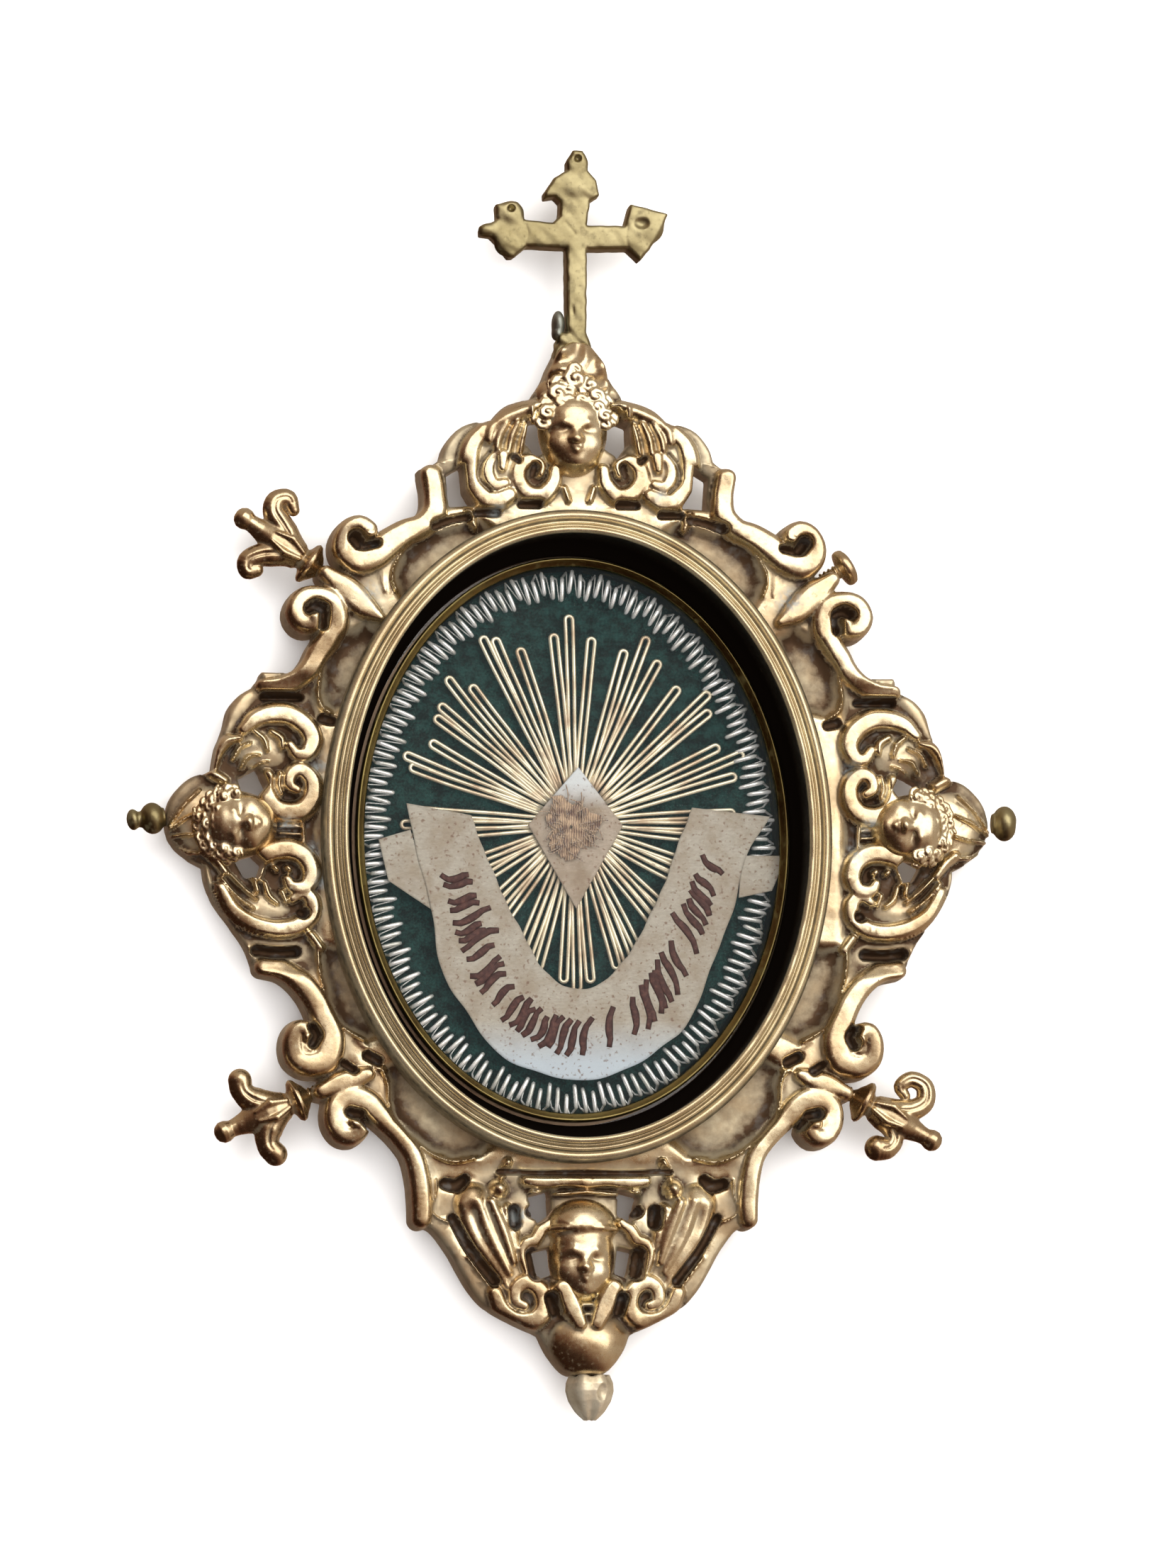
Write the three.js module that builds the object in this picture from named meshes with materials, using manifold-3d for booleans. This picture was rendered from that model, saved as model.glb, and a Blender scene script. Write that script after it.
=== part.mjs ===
// A reliquary in gilt cast bronze: an oval frame with cherub heads and scrolls, a cross on top,
// three screwed-in fleurons and a stub, side knobs, and a glazed oval capsule with its contents.
// Millimetres. X to the right, Y towards the cross, Z out of the front. The origin is the middle of the
// capsule's flat back, on which the reliquary lies.

import * as THREE from "three";
import { mergeVertices } from "three/addons/utils/BufferGeometryUtils.js";
import Module from "manifold-3d";

const wasm = await Module();
wasm.setup();

// Driving dimensions

const GAP = 0.3; // clearance between pieces that touch

// Capsule: an oval tray, burnished over its glass at the front
const CAPSULE = { a: 20.5, b: 26.6, height: 6.0, wall: 0.5, floor: 0.8, lip: 0.35, lipDepth: 0.3 };
const OVAL_STEPS = 32; // facets round every oval

// Bezel: the raised oval moulding of the frame, around the capsule
const BEZEL = { a: 21.4, b: 28.4, width: 2.3, back: 3.2, front: 10.6, seat: 5.0 };

// Plate: the ground of the openwork
const PLATE = { back: 3.6, front: 5.8 };

// Heights above the back of the capsule
const EDGE_TOP = 7.2; // rims along the outline
const SCROLL_TOP = 7.8; // rolled scroll ends
const WING_TOP = 8.2; // wings and the scrolls beside the heads
const HEAD_MIDDLE = 6.6; // middle of the heads

// Cross
const CROSS = { back: 4.4, front: 7.2 };
const PEDESTAL = { radii: [2.1, 3.9], height: 3.4, flatness: 0.62, at: [0.1, 42.0, 5.9] };

// Contents, from the floor up
const PAD = { bottom: CAPSULE.floor + GAP, top: 2.1 };
const BORDER = { width: 3.0, bottom: PAD.top + GAP, top: 3.4, ripple: 0.35, shoulder: 0.6 };
const WIRE = { bottom: PAD.top + GAP, top: PAD.top + GAP + 0.54 };
const PAPER = 0.3;
const GLASS = { bottom: 4.85, top: CAPSULE.height - CAPSULE.lipDepth - GAP };

// Distance between facets along each kind of curve
const STRIDE = { outline: 2.9, strap: 2.2, relief: 2.6, feather: 3.6, petal: 1.6 };

// Materials

const finish = (color, roughness, metalness) =>
  new THREE.MeshStandardMaterial({ color, roughness, metalness });
const giltBronze = () => finish(0xb8955c, 0.38, 1);
const oliveBrass = () => finish(0x9c8a4e, 0.5, 1);
const paleMetal = () => finish(0xb9b09a, 0.55, 1);
const silverWire = () => finish(0xcfd2cf, 0.3, 1);
const goldWire = () => finish(0xd6b878, 0.3, 1);
const velvet = () => finish(0x1c3c3a, 0.95, 0);
const parchment = () => finish(0xb5a898, 0.85, 0);
const relicLinen = () => finish(0x8a7458, 0.95, 0);
const clearGlass = () => {
  const glass = finish(0xe8f2f2, 0.05, 0);
  glass.transparent = true;
  glass.opacity = 0.25;
  return glass;
};

// From three.js geometry to a closed solid and back

function solid(geometry) {
  const bare = new THREE.BufferGeometry().setAttribute("position", geometry.getAttribute("position"));
  if (geometry.index) bare.setIndex(geometry.index);
  const merged = mergeVertices(bare, 1e-4);
  const mesh = new wasm.Mesh({
    numProp: 3,
    vertProperties: new Float32Array(merged.attributes.position.array),
    triVerts: new Uint32Array(merged.index.array),
  });
  return new wasm.Manifold(mesh);
}

function geometryOf(body) {
  const { vertProperties, triVerts } = body.getMesh();
  const geometry = new THREE.BufferGeometry()
    .setAttribute("position", new THREE.BufferAttribute(vertProperties, 3))
    .setIndex(new THREE.BufferAttribute(triVerts, 1));
  geometry.computeVertexNormals();
  return geometry;
}

const join = (solids) => solids.reduce((whole, next) => whole.add(next));
const mirrored = (geometry) => {
  const copy = geometry.clone().scale(-1, 1, 1);
  const index = copy.index.array;
  for (let i = 0; i < index.length; i += 3) [index[i + 1], index[i + 2]] = [index[i + 2], index[i + 1]];
  return copy;
};

// Forms

// A closed skin over rings of equal length, capped at both ends or closed on itself.
function skin(rings, closed = false) {
  const sides = rings[0].length;
  const index = [];
  const spans = closed ? rings.length : rings.length - 1;
  for (let i = 0; i < spans; i++) {
    const near = i * sides;
    const far = ((i + 1) % rings.length) * sides;
    for (let j = 0; j < sides; j++) {
      const next = (j + 1) % sides;
      index.push(near + j, near + next, far + next, near + j, far + next, far + j);
    }
  }
  if (!closed) {
    const last = (rings.length - 1) * sides;
    for (let j = 1; j < sides - 1; j++) {
      index.push(0, j + 1, j, last, last + j, last + j + 1);
    }
  }
  const positions = new Float32Array(rings.flat(2));
  return new THREE.BufferGeometry()
    .setAttribute("position", new THREE.BufferAttribute(positions, 3))
    .setIndex(index);
}

const plan = (points) => points.map(([x, y]) => new THREE.Vector2(x, y));

const spline = (points) =>
  new THREE.CatmullRomCurve3(points.map(([x, y]) => new THREE.Vector3(x, y, 0)), false, "centripetal");

// The value at share t of the way along a list of evenly spread values.
function between(values, t) {
  const place = t * (values.length - 1);
  const left = Math.min(Math.floor(place), values.length - 2);
  return THREE.MathUtils.lerp(values[left], values[left + 1], place - left);
}

// Sweeps a section along a curve in the plate's plane. The half widths are spread evenly along the curve,
// and section(half) lists [side, height], where side runs from -1 to 1 across the sweep.
function sweep(points, halfWidths, section, stride) {
  const curve = spline(points);
  const count = Math.max(2, Math.round(curve.getLength() / stride));
  const rings = [];
  for (let i = 0; i <= count; i++) {
    const t = i / count;
    const at = curve.getPoint(t);
    const along = curve.getTangent(t);
    const half = between(halfWidths, t);
    const place2d = (side) => [at.x + along.y * side * half, at.y - along.x * side * half];
    rings.push(section(half).map(([side, z]) => [...place2d(side), z]));
  }
  return skin(rings.reverse());
}

// A rolled strap of full depth with a crowned front.
function strap(points, halfWidths, { bottom, top, stride = STRIDE.strap }) {
  const section = (half) => {
    const low = top - Math.min(0.8, half);
    return [[-1, bottom], [1, bottom], [1, low], [0, top], [-1, low]];
  };
  return sweep(points, halfWidths, section, stride);
}

// A scroll or rim in low relief on the plate.
const RELIEF_ROOT = PLATE.front - 0.4;
function relief(points, halfWidths, top) {
  const section = () => [[-1, RELIEF_ROOT], [1, RELIEF_ROOT], [0.5, top], [-0.5, top]];
  return sweep(points, halfWidths, section, STRIDE.relief);
}

// A sharp-crested feather or fold.
function feather(points, halfWidths, top) {
  const section = () => [[-1, RELIEF_ROOT], [1, RELIEF_ROOT], [0, top]];
  return sweep(points, halfWidths, section, STRIDE.feather);
}

const onOval = (a, b, turn, z) => [a * Math.cos(turn), b * Math.sin(turn), z];

// An oval ring swept from a profile of [outward offset, height] about the oval of half axes a and b.
// A third number is the offset along Y where it differs.
function ovalRing(a, b, profile) {
  const rings = [];
  for (let i = 0; i < OVAL_STEPS; i++) {
    const turn = (i / OVAL_STEPS) * 2 * Math.PI;
    rings.push(profile.map(([dx, z, dy = dx]) => onOval(a + dx, b + dy, turn, z)));
  }
  return skin(rings.reverse(), true);
}

// A flat slab of a shape, standing on a height
const slab = (shape, bottom, top) =>
  new THREE.ExtrudeGeometry(shape, { depth: top - bottom, bevelEnabled: false }).translate(0, 0, bottom);

const ovalBlock = (a, b, bottom, top) =>
  new THREE.CylinderGeometry(1, 1, top - bottom, OVAL_STEPS)
    .rotateX(Math.PI / 2)
    .scale(a, b, 1)
    .translate(0, 0, (bottom + top) / 2);

const egg = ([x, y], z, rx, ry, rz, around = 12, down = 8) =>
  new THREE.SphereGeometry(1, around, down).rotateX(Math.PI / 2).scale(rx, ry, rz).translate(x, y, z);

function outlineShape(runs) {
  const points = [];
  for (const run of runs) {
    const curve = spline(run);
    const count = Math.max(1, Math.round(curve.getLength() / STRIDE.outline));
    for (let i = 0; i < count; i++) points.push(curve.getPoint(i / count));
  }
  return points;
}

// Frame: plate

// The left half of the outline, from the top down. Each run is one smooth stretch, and runs meet at
// corners.
const LEFT_OUTLINE = [
  [[-2.4, 43.8], [-2.8, 43.3], [-3.5, 42.3], [-4.4, 41.1]],
  [[-4.4, 41.1], [-5.7, 40.8], [-7.1, 40.2], [-8.3, 38.8]],
  [[-8.3, 38.8], [-9.9, 38.7], [-11.4, 38.0], [-12.6, 36.5], [-13.0, 35.2]],
  [[-13.0, 35.2], [-13.9, 34.5], [-15.1, 34.1]],
  [[-15.1, 34.1], [-14.7, 32.7], [-14.5, 31.2], [-15.2, 29.8], [-16.8, 28.5], [-18.1, 27.7]],
  [[-18.1, 27.7], [-20.8, 25.3], [-23.3, 23.5]],
  [[-23.3, 23.5], [-24.3, 20.7], [-24.7, 18.3]],
  [[-24.7, 18.3], [-24.9, 16.9], [-25.4, 15.5], [-26.6, 14.8], [-30.0, 14.8]],
  [[-30.0, 14.8], [-30.5, 13.6], [-32.0, 12.7], [-33.1, 11.4], [-33.6, 9.5], [-34.3, 7.7], [-34.7, 5.5]],
  [[-34.7, 5.5], [-36.7, 4.9], [-38.3, 3.3], [-38.9, 1.8], [-39.0, 0.4], [-38.5, -1.2], [-37.1, -2.6],
    [-35.5, -3.5]],
  [[-35.5, -3.5], [-35.3, -4.9], [-34.5, -6.9], [-33.2, -8.7], [-31.7, -10.8], [-31.0, -12.4],
    [-30.6, -13.3]],
  [[-30.6, -13.3], [-28.0, -13.4], [-26.8, -14.0], [-25.8, -15.3], [-25.2, -17.0]],
  [[-25.2, -17.0], [-24.7, -20.9], [-24.5, -24.3]],
  [[-24.5, -24.3], [-21.8, -26.4], [-19.3, -26.0]],
  [[-19.3, -26.0], [-17.9, -27.3], [-16.6, -28.8], [-16.0, -31.0], [-15.8, -33.1], [-16.1, -36.5]],
  [[-16.1, -36.5], [-14.4, -37.3], [-12.8, -39.4], [-11.8, -41.2], [-10.7, -43.0], [-9.2, -44.6],
    [-6.7, -46.0], [-4.3, -47.1]],
  [[-4.3, -47.1], [-3.4, -48.9], [-1.8, -50.7], [0.0, -50.8]],
];

// The pierced openings of the left half
const LEFT_HOLES = [
  [[-12.4, 33.6], [-11.0, 34.4], [-10.8, 32.1], [-10.0, 30.8], [-12.2, 30.6]],
  [[-4.8, 38.5], [-3.0, 39.1], [-2.7, 36.3], [-3.9, 35.5], [-4.8, 36.7]],
  [[-32.1, 4.8], [-30.4, 5.7], [-29.6, 4.1], [-30.5, 3.0], [-31.7, 3.3]],
  [[-32.4, -3.0], [-31.0, -2.3], [-30.0, -3.2], [-30.5, -4.6], [-31.7, -4.3]],
  [[-30.4, -10.8], [-26.4, -11.0], [-26.4, -11.6], [-29.8, -11.8]],
  [[-29.6, 12.8], [-26.0, 13.0], [-26.0, 12.4], [-29.4, 12.2]],
  [[-5.1, -34.2], [-3.3, -33.7], [-3.2, -35.8], [-4.3, -36.5]],
  [[-4.5, -39.3], [-3.2, -39.0], [-2.9, -41.3], [-4.0, -41.7]],
];

function platePlan() {
  const left = outlineShape(LEFT_OUTLINE);
  const right = [...left].reverse().map((p) => new THREE.Vector3(-p.x, p.y, 0));
  const shape = new THREE.Shape([...left, ...right].map((p) => new THREE.Vector2(p.x, p.y)));
  for (const hole of LEFT_HOLES) {
    shape.holes.push(new THREE.Path(plan(hole)), new THREE.Path(plan(hole.map(([x, y]) => [-x, y]))));
  }
  return shape;
}

const plate = () => slab(platePlan(), PLATE.back, PLATE.front);

// Frame: straps and scrolls of the left half

const EDGE = { bottom: PLATE.back + 0.2, top: EDGE_TOP };
const SCROLL = { bottom: PLATE.back + 0.2, top: SCROLL_TOP };

const leftScrolls = () => [
  // from the ear of the top group along the strap into the upper corner scroll
  strap([[-14.8, 33.9], [-14.0, 31.8], [-14.6, 29.8], [-16.3, 28.1], [-18.4, 26.0], [-20.6, 24.5],
    [-22.3, 25.4], [-22.4, 27.7], [-21.0, 29.1], [-19.5, 28.9], [-19.5, 27.7]],
    [0.4, 0.6, 0.6, 0.7, 0.9, 0.95, 0.9, 0.8, 0.75, 0.8, 0.5], SCROLL),
  // from the upper side ear into the scroll beside it
  strap([[-29.7, 14.4], [-26.9, 14.4], [-24.9, 15.5], [-23.9, 17.4], [-22.9, 19.5], [-23.4, 21.8],
    [-25.2, 22.7], [-26.8, 21.5], [-26.8, 19.8], [-25.3, 19.1], [-24.1, 20.1]],
    [0.35, 0.6, 0.65, 0.7, 0.8, 0.8, 0.8, 0.8, 0.75, 0.7, 0.5], SCROLL),
  // from the lower side ear into the scroll below it
  strap([[-30.4, -12.6], [-27.7, -13.2], [-25.8, -14.6], [-24.3, -17.2], [-23.2, -20.0],
    [-24.0, -22.5], [-26.2, -22.8], [-27.6, -20.9], [-27.0, -18.5], [-25.3, -18.4]],
    [0.35, 0.6, 0.65, 0.75, 0.8, 0.8, 0.8, 0.8, 0.75, 0.6], SCROLL),
  // from the ear of the bottom group into the lower corner scroll
  strap([[-15.8, -35.9], [-15.0, -33.7], [-15.2, -31.1], [-16.8, -28.7], [-18.9, -26.8],
    [-21.1, -25.0], [-23.1, -25.9], [-23.3, -28.0], [-21.7, -28.9], [-20.4, -27.9]],
    [0.4, 0.6, 0.7, 0.75, 0.9, 0.9, 0.8, 0.8, 0.75, 0.6], SCROLL),
  // the tongues that carry the fleurons
  strap([[-23.1, 23.4], [-21.3, 21.8], [-19.1, 20.2]], [0.8, 0.75, 0.5], EDGE),
  strap([[-24.3, -24.1], [-22.1, -22.8], [-19.8, -21.6]], [0.8, 0.75, 0.5], EDGE),
  // raised rims of the sunken crescents beside the bezel
  feather([[-17.6, 22.6], [-17.3, 25.2], [-15.6, 27.3], [-13.1, 28.5], [-11.0, 29.3]],
    [0.35, 0.35, 0.35], EDGE_TOP - 0.2),
  feather([[-22.5, 17.8], [-23.7, 15.8], [-24.5, 13.2], [-23.9, 11.6], [-22.7, 11.0]],
    [0.35, 0.35, 0.3], EDGE_TOP - 0.2),
  feather([[-24.3, -10.2], [-24.7, -12.6], [-23.7, -15.6], [-22.1, -18.3]],
    [0.35, 0.35, 0.3], EDGE_TOP - 0.2),
  feather([[-17.4, -23.6], [-17.0, -26.0], [-14.7, -28.6], [-11.1, -30.3]],
    [0.35, 0.35, 0.3], EDGE_TOP - 0.2),
];

const leftWings = () => [
  // top group: wing crest, three feathers, the big and the small scroll, the rim of the back lobe
  relief([[-3.6, 40.6], [-5.4, 40.2], [-6.9, 39.4], [-7.9, 38.1]], [0.6, 0.7, 0.6], WING_TOP + 0.4),
  feather([[-7.9, 38.5], [-8.3, 37.2], [-7.7, 35.9]], [0.55, 0.5, 0.2], WING_TOP),
  feather([[-6.5, 38.8], [-6.3, 37.2], [-5.5, 35.3]], [0.55, 0.5, 0.2], WING_TOP),
  feather([[-5.2, 39.1], [-5.3, 37.6], [-5.2, 36.0]], [0.5, 0.45, 0.2], WING_TOP - 0.3),
  relief([[-10.1, 38.4], [-10.8, 36.0], [-10.8, 33.3], [-9.6, 31.4], [-7.6, 31.0], [-6.3, 32.1],
    [-6.7, 33.5], [-7.6, 32.9]],
    [0.5, 0.8, 0.8, 0.7, 0.5, 0.3], WING_TOP),
  relief([[-4.5, 35.3], [-4.9, 33.7], [-3.9, 32.0], [-2.4, 32.2], [-1.7, 33.6], [-2.5, 34.7], [-3.4, 34.0]],
    [0.5, 0.6, 0.6, 0.5, 0.35], WING_TOP),
  relief([[-8.4, 38.3], [-10.7, 37.7], [-12.0, 36.0], [-12.7, 34.4]], [0.5, 0.5, 0.4], EDGE_TOP),
  // side group: wings above and below the head, each with a big and a small scroll
  relief([[-34.3, 5.6], [-33.6, 7.7], [-31.8, 8.9], [-29.8, 8.1]], [0.6, 0.7, 0.4], WING_TOP),
  feather([[-32.8, 5.3], [-32.0, 6.8], [-30.1, 6.9]], [0.5, 0.5, 0.3], WING_TOP - 0.3),
  relief([[-32.0, 9.5], [-29.8, 10.4], [-27.4, 11.0], [-25.6, 9.9], [-24.8, 7.9], [-25.8, 6.4],
    [-27.2, 7.1], [-27.4, 8.3]],
    [0.5, 0.7, 0.7, 0.6, 0.5, 0.3], WING_TOP),
  relief([[-28.0, 5.6], [-26.2, 5.8], [-25.2, 4.4], [-25.7, 2.6], [-27.3, 2.1], [-28.3, 3.2], [-27.7, 4.3]],
    [0.4, 0.6, 0.6, 0.5, 0.35], WING_TOP),
  relief([[-29.7, -2.6], [-28.6, -1.6], [-26.9, -1.5], [-25.8, -2.8], [-26.1, -4.5], [-27.4, -4.9],
    [-28.0, -3.9]],
    [0.4, 0.6, 0.6, 0.5, 0.35], WING_TOP),
  relief([[-33.3, -4.6], [-32.4, -7.1], [-30.4, -8.7], [-27.7, -9.1], [-25.6, -8.1], [-25.4, -6.6],
    [-26.6, -5.9]],
    [0.5, 0.7, 0.7, 0.5, 0.35], WING_TOP),
  feather([[-33.2, -3.9], [-31.4, -5.7], [-28.6, -7.3]], [0.5, 0.5, 0.3], WING_TOP - 0.3),
  // bottom group: long feathers that sweep down into a volute, and the shoulder
  relief([[-12.3, -34.3], [-11.0, -37.7], [-8.5, -41.6], [-5.7, -44.6]], [0.7, 0.8, 0.6], WING_TOP),
  relief([[-9.6, -34.3], [-8.4, -37.8], [-6.7, -41.0], [-4.3, -42.5], [-2.9, -44.1], [-4.0, -45.4],
    [-5.2, -44.8]],
    [0.7, 0.8, 0.7, 0.6, 0.4], WING_TOP + 0.2),
  feather([[-7.3, -34.3], [-6.7, -37.1], [-5.2, -39.8]], [0.6, 0.6, 0.3], WING_TOP),
  relief([[-8.4, -30.7], [-8.5, -32.7], [-6.7, -33.9]], [0.5, 0.8, 0.6], WING_TOP + 0.4),
];

// Frame: heads

// A cherub's head in its own plane, crown towards +Y, middle of the face at the origin.
function cherubHead(width, height) {
  const parts = [
    egg([0, 0], 0, width / 2, height / 2, 3.2, 8, 6),
    egg([0, height * 0.3], -0.2, width * 0.56, height * 0.36, 3.3, 8, 5),
    egg([0, -height * 0.06], 3.0, width * 0.1, height * 0.14, 0.8, 5, 3),
  ];
  return join(parts.map(solid));
}

const HEADS = {
  top: { at: [0.2, 37.9], width: 5.0, height: 6.8, turn: 0 },
  left: { at: [-31.3, 1.0], width: 5.0, height: 6.8, turn: 90 },
  right: { at: [31.3, 1.0], width: 5.0, height: 6.8, turn: -90 },
  bottom: { at: [0.0, -39.6], width: 5.4, height: 7.4, turn: 0 },
};

const heads = () =>
  Object.values(HEADS).map(({ at: [x, y], width, height, turn }) =>
    cherubHead(width, height).rotate([0, 0, turn]).translate([x, y, HEAD_MIDDLE]));

// The wreath of curls over a brow: an arc about the top of the face, crown towards the given angle.
function wreath([x, y], radius, crown) {
  const points = [-80, -40, 0, 40, 80].map((swing) => {
    const angle = THREE.MathUtils.degToRad(crown + swing);
    return [x + radius * Math.cos(angle), y + radius * Math.sin(angle)];
  });
  return relief(points, [0.6, 0.9, 0.9, 0.9, 0.6], 9.6);
}

// What the cross stands on: an eight-sided hump, flattened from front to back
const pedestal = () => {
  const { radii: [top, foot], height, flatness, at } = PEDESTAL;
  const hump = new THREE.CylinderGeometry(top, foot, height, 8).rotateY(Math.PI / 8);
  return hump.scale(1, 1, flatness).translate(...at);
};

const ornaments = () => {
  const middle = [
    // wreath of curls over each head, and the domed shells behind the side heads
    wreath([0.0, 39.2], 3.2, 90),
    wreath([32.6, 1.0], 3.2, 0),
    wreath([-32.6, 1.0], 3.2, 180),
    egg([-34.5, 1.0], 5.2, 4.1, 4.0, 3.0, 8, 6),
    egg([34.5, 1.0], 5.2, 4.1, 4.0, 3.0, 8, 6),
    // bar over the lower head, its hair cap and collar, and the globe
    new THREE.BoxGeometry(10.2, 1.5, 3.4).translate(0, -32.6, 7.0),
    egg([-0.2, -35.8], 6.6, 2.9, 2.6, 3.4, 8, 5),
    egg([0.2, -48.1], 5.6, 4.2, 3.1, 3.4, 8, 6),
    new THREE.BoxGeometry(3.0, 3.4, 2.4).translate(0.3, -44.0, 6.6),
    // ornament under the upper chin and beside the side chins
    egg([0.0, 32.4], 6.4, 1.6, 1.4, 1.6, 6, 4),
    egg([-26.9, 0.8], 6.2, 1.6, 0.9, 1.4, 6, 4),
    egg([26.9, 0.8], 6.2, 1.6, 0.9, 1.4, 6, 4),
    // pedestal of the cross behind the upper head
    pedestal(),
  ];
  return middle.map(solid);
};

// Frame: bezel

// The seat steps in behind the opening, up to the capsule
const SEAT = { dx: CAPSULE.a + GAP - BEZEL.a, dy: CAPSULE.b + GAP - BEZEL.b };

const BEZEL_PROFILE = [
  [SEAT.dx, BEZEL.back, SEAT.dy], [BEZEL.width, BEZEL.back], [BEZEL.width, 9.5], [BEZEL.width - 0.5, 10.1],
  [BEZEL.width - 1.1, 9.6], [0.7, 9.9], [0.4, BEZEL.front], [0, 10.4], [0, BEZEL.seat],
  [SEAT.dx, BEZEL.seat, SEAT.dy],
];

// The space behind the frame, up to its flat back
const BEHIND = { reach: 200, top: PLATE.back - 0.1, depth: 6 };

function frame() {
  const bezel = solid(ovalRing(BEZEL.a, BEZEL.b, BEZEL_PROFILE));
  // the opening, cut to the middle of the bezel's moulding
  const bore = solid(ovalBlock(BEZEL.a + BEZEL.width / 2, BEZEL.b + BEZEL.width / 2, 0, 2 * BEZEL.front));
  const half = [...leftScrolls(), ...leftWings()];
  // what bulges behind the plate is dressed off flat
  const { reach, top, depth } = BEHIND;
  const behind = solid(new THREE.BoxGeometry(reach, reach, depth).translate(0, 0, top - depth / 2));
  const openwork = join([
    solid(plate()),
    ...half.map(solid),
    ...half.map((form) => solid(mirrored(form))),
    ...heads(),
    ...ornaments(),
  ]);
  return openwork.subtract(bore).subtract(behind).add(bezel);
}

// Cross

// The outline, from the left of the foot round the left arm, the head and the right arm. The trefoil
// ends are worn and bent, and each differs.
const CROSS_OUTLINE = [
  [-2.4, 44.1], [-2.0, 46.3], [-1.5, 47.4], [-1.0, 47.4], [-1.0, 55.3], [-4.7, 55.4],
  [-5.9, 54.4], [-6.4, 54.4], [-7.5, 55.8], [-8.1, 56.4], [-9.1, 56.5], [-9.1, 57.2],
  [-8.1, 57.6], [-7.5, 58.0], [-7.6, 59.4], [-5.6, 59.6], [-4.9, 58.0], [-2.2, 57.8],
  [-1.6, 58.4], [-1.5, 59.7], [-2.0, 60.2], [-3.0, 60.0], [-3.0, 60.6], [-2.0, 62.1],
  [-0.8, 62.8], [-0.8, 63.7], [-0.2, 64.7], [0.7, 64.7], [1.2, 63.7], [1.2, 62.8],
  [2.0, 61.9], [2.3, 60.4], [1.4, 59.8], [1.1, 57.6], [4.6, 57.6], [5.2, 59.7],
  [8.9, 58.8], [8.5, 58.0], [7.1, 55.4], [6.1, 54.2], [4.9, 55.3], [4.5, 55.3],
  [1.1, 55.2], [1.0, 47.4], [1.6, 45.6], [2.0, 44.1],
];

function cross() {
  const body = slab(new THREE.Shape(plan(CROSS_OUTLINE)), CROSS.back, CROSS.front);
  const solder = egg([-1.6, 48.1], CROSS.back + 1.2, 0.8, 1.3, 0.9, 6, 4);
  return join([body, solder].map(solid));
}

// Fleurons

// A turned stem along +Y with a collar, a vase-shaped body and a bud, and two petals that curl back.
const FLEURON_PROFILE = [
  [0, 0], [0.75, 0.1], [0.65, 0.8], [0.75, 1.4], [1.7, 1.7], [1.6, 2.7], [0.9, 3.0], [1.5, 4.2],
  [2.1, 6.5], [1.2, 7.9], [0.8, 8.8], [1.2, 9.6], [0, 10.6],
];

const turned = (profile, sides) => solid(new THREE.LatheGeometry(plan(profile), sides));

const PETAL = { halfWidths: [0.9, 0.85, 0.75, 0.7, 0.45], bottom: -0.9, top: 0.9, stride: STRIDE.petal };

// side is -1 or 1, and curl is how far the tip turns back towards the root.
function petal(side, curl) {
  const line = [[0.9, 6.5], [2.3, 7.6], [3.5, 7.2], [3.9, 6.2], [3.5, 6.0 - curl]];
  const path = line.map(([x, y]) => [x * side, y]);
  return solid(strap(path, PETAL.halfWidths, PETAL));
}

const fleuron = ([left, right]) => join([turned(FLEURON_PROFILE, 8), petal(-1, left), petal(1, right)]);

// Root of each stem on the frame, the direction of its axis in degrees, and the curl of its two petals
const FLEURONS = {
  fleuron_upper_left: { root: [-23.5, 23.9], axis: 145.5, curls: [0.4, 0.5] },
  fleuron_lower_left: { root: [-24.7, -24.3], axis: 203.5, curls: [1.0, 0.6] },
  fleuron_lower_right: { root: [24.8, -24.1], axis: -29, curls: [2.0, 1.6] },
};
const STUB = { root: [23.4, 24.1], axis: 31 };

const STUB_PROFILE = [
  [0, 0], [0.75, 0.1], [0.65, 1.0], [0.75, 1.9], [1.7, 2.2], [1.8, 2.9], [1.2, 3.3], [0, 3.3],
];

// Side knobs and the bottom bud

// The left knob keeps its end bead, and the right one ends at the ball.
const KNOB_PROFILE = [
  [0, 0], [0.9, 0], [1.4, 0.6], [1.5, 1.4], [0.8, 2.3], [0.95, 2.9], [0.6, 3.6], [0, 3.6],
];
const SHORT_KNOB_PROFILE = [[0, 0], [0.9, 0], [1.6, 0.6], [1.7, 1.4], [1.1, 2.2], [0, 2.4]];
const BUD_PROFILE = [[0, 0], [1.9, 0], [2.15, 1.2], [1.5, 2.6], [0, 4.0]];

// Capsule and glass

function capsule() {
  const { a, b, height, wall, floor, lip, lipDepth } = CAPSULE;
  const block = solid(ovalBlock(a, b, 0, height));
  const room = solid(ovalBlock(a - wall, b - wall, floor, height - lipDepth));
  const mouth = solid(ovalBlock(a - wall - lip, b - wall - lip, floor + 1, height + 1));
  return block.subtract(room).subtract(mouth);
}

// Half axes of what lies inside the capsule's wall
const inside = { a: CAPSULE.a - CAPSULE.wall - GAP, b: CAPSULE.b - CAPSULE.wall - GAP };

// Contents

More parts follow.
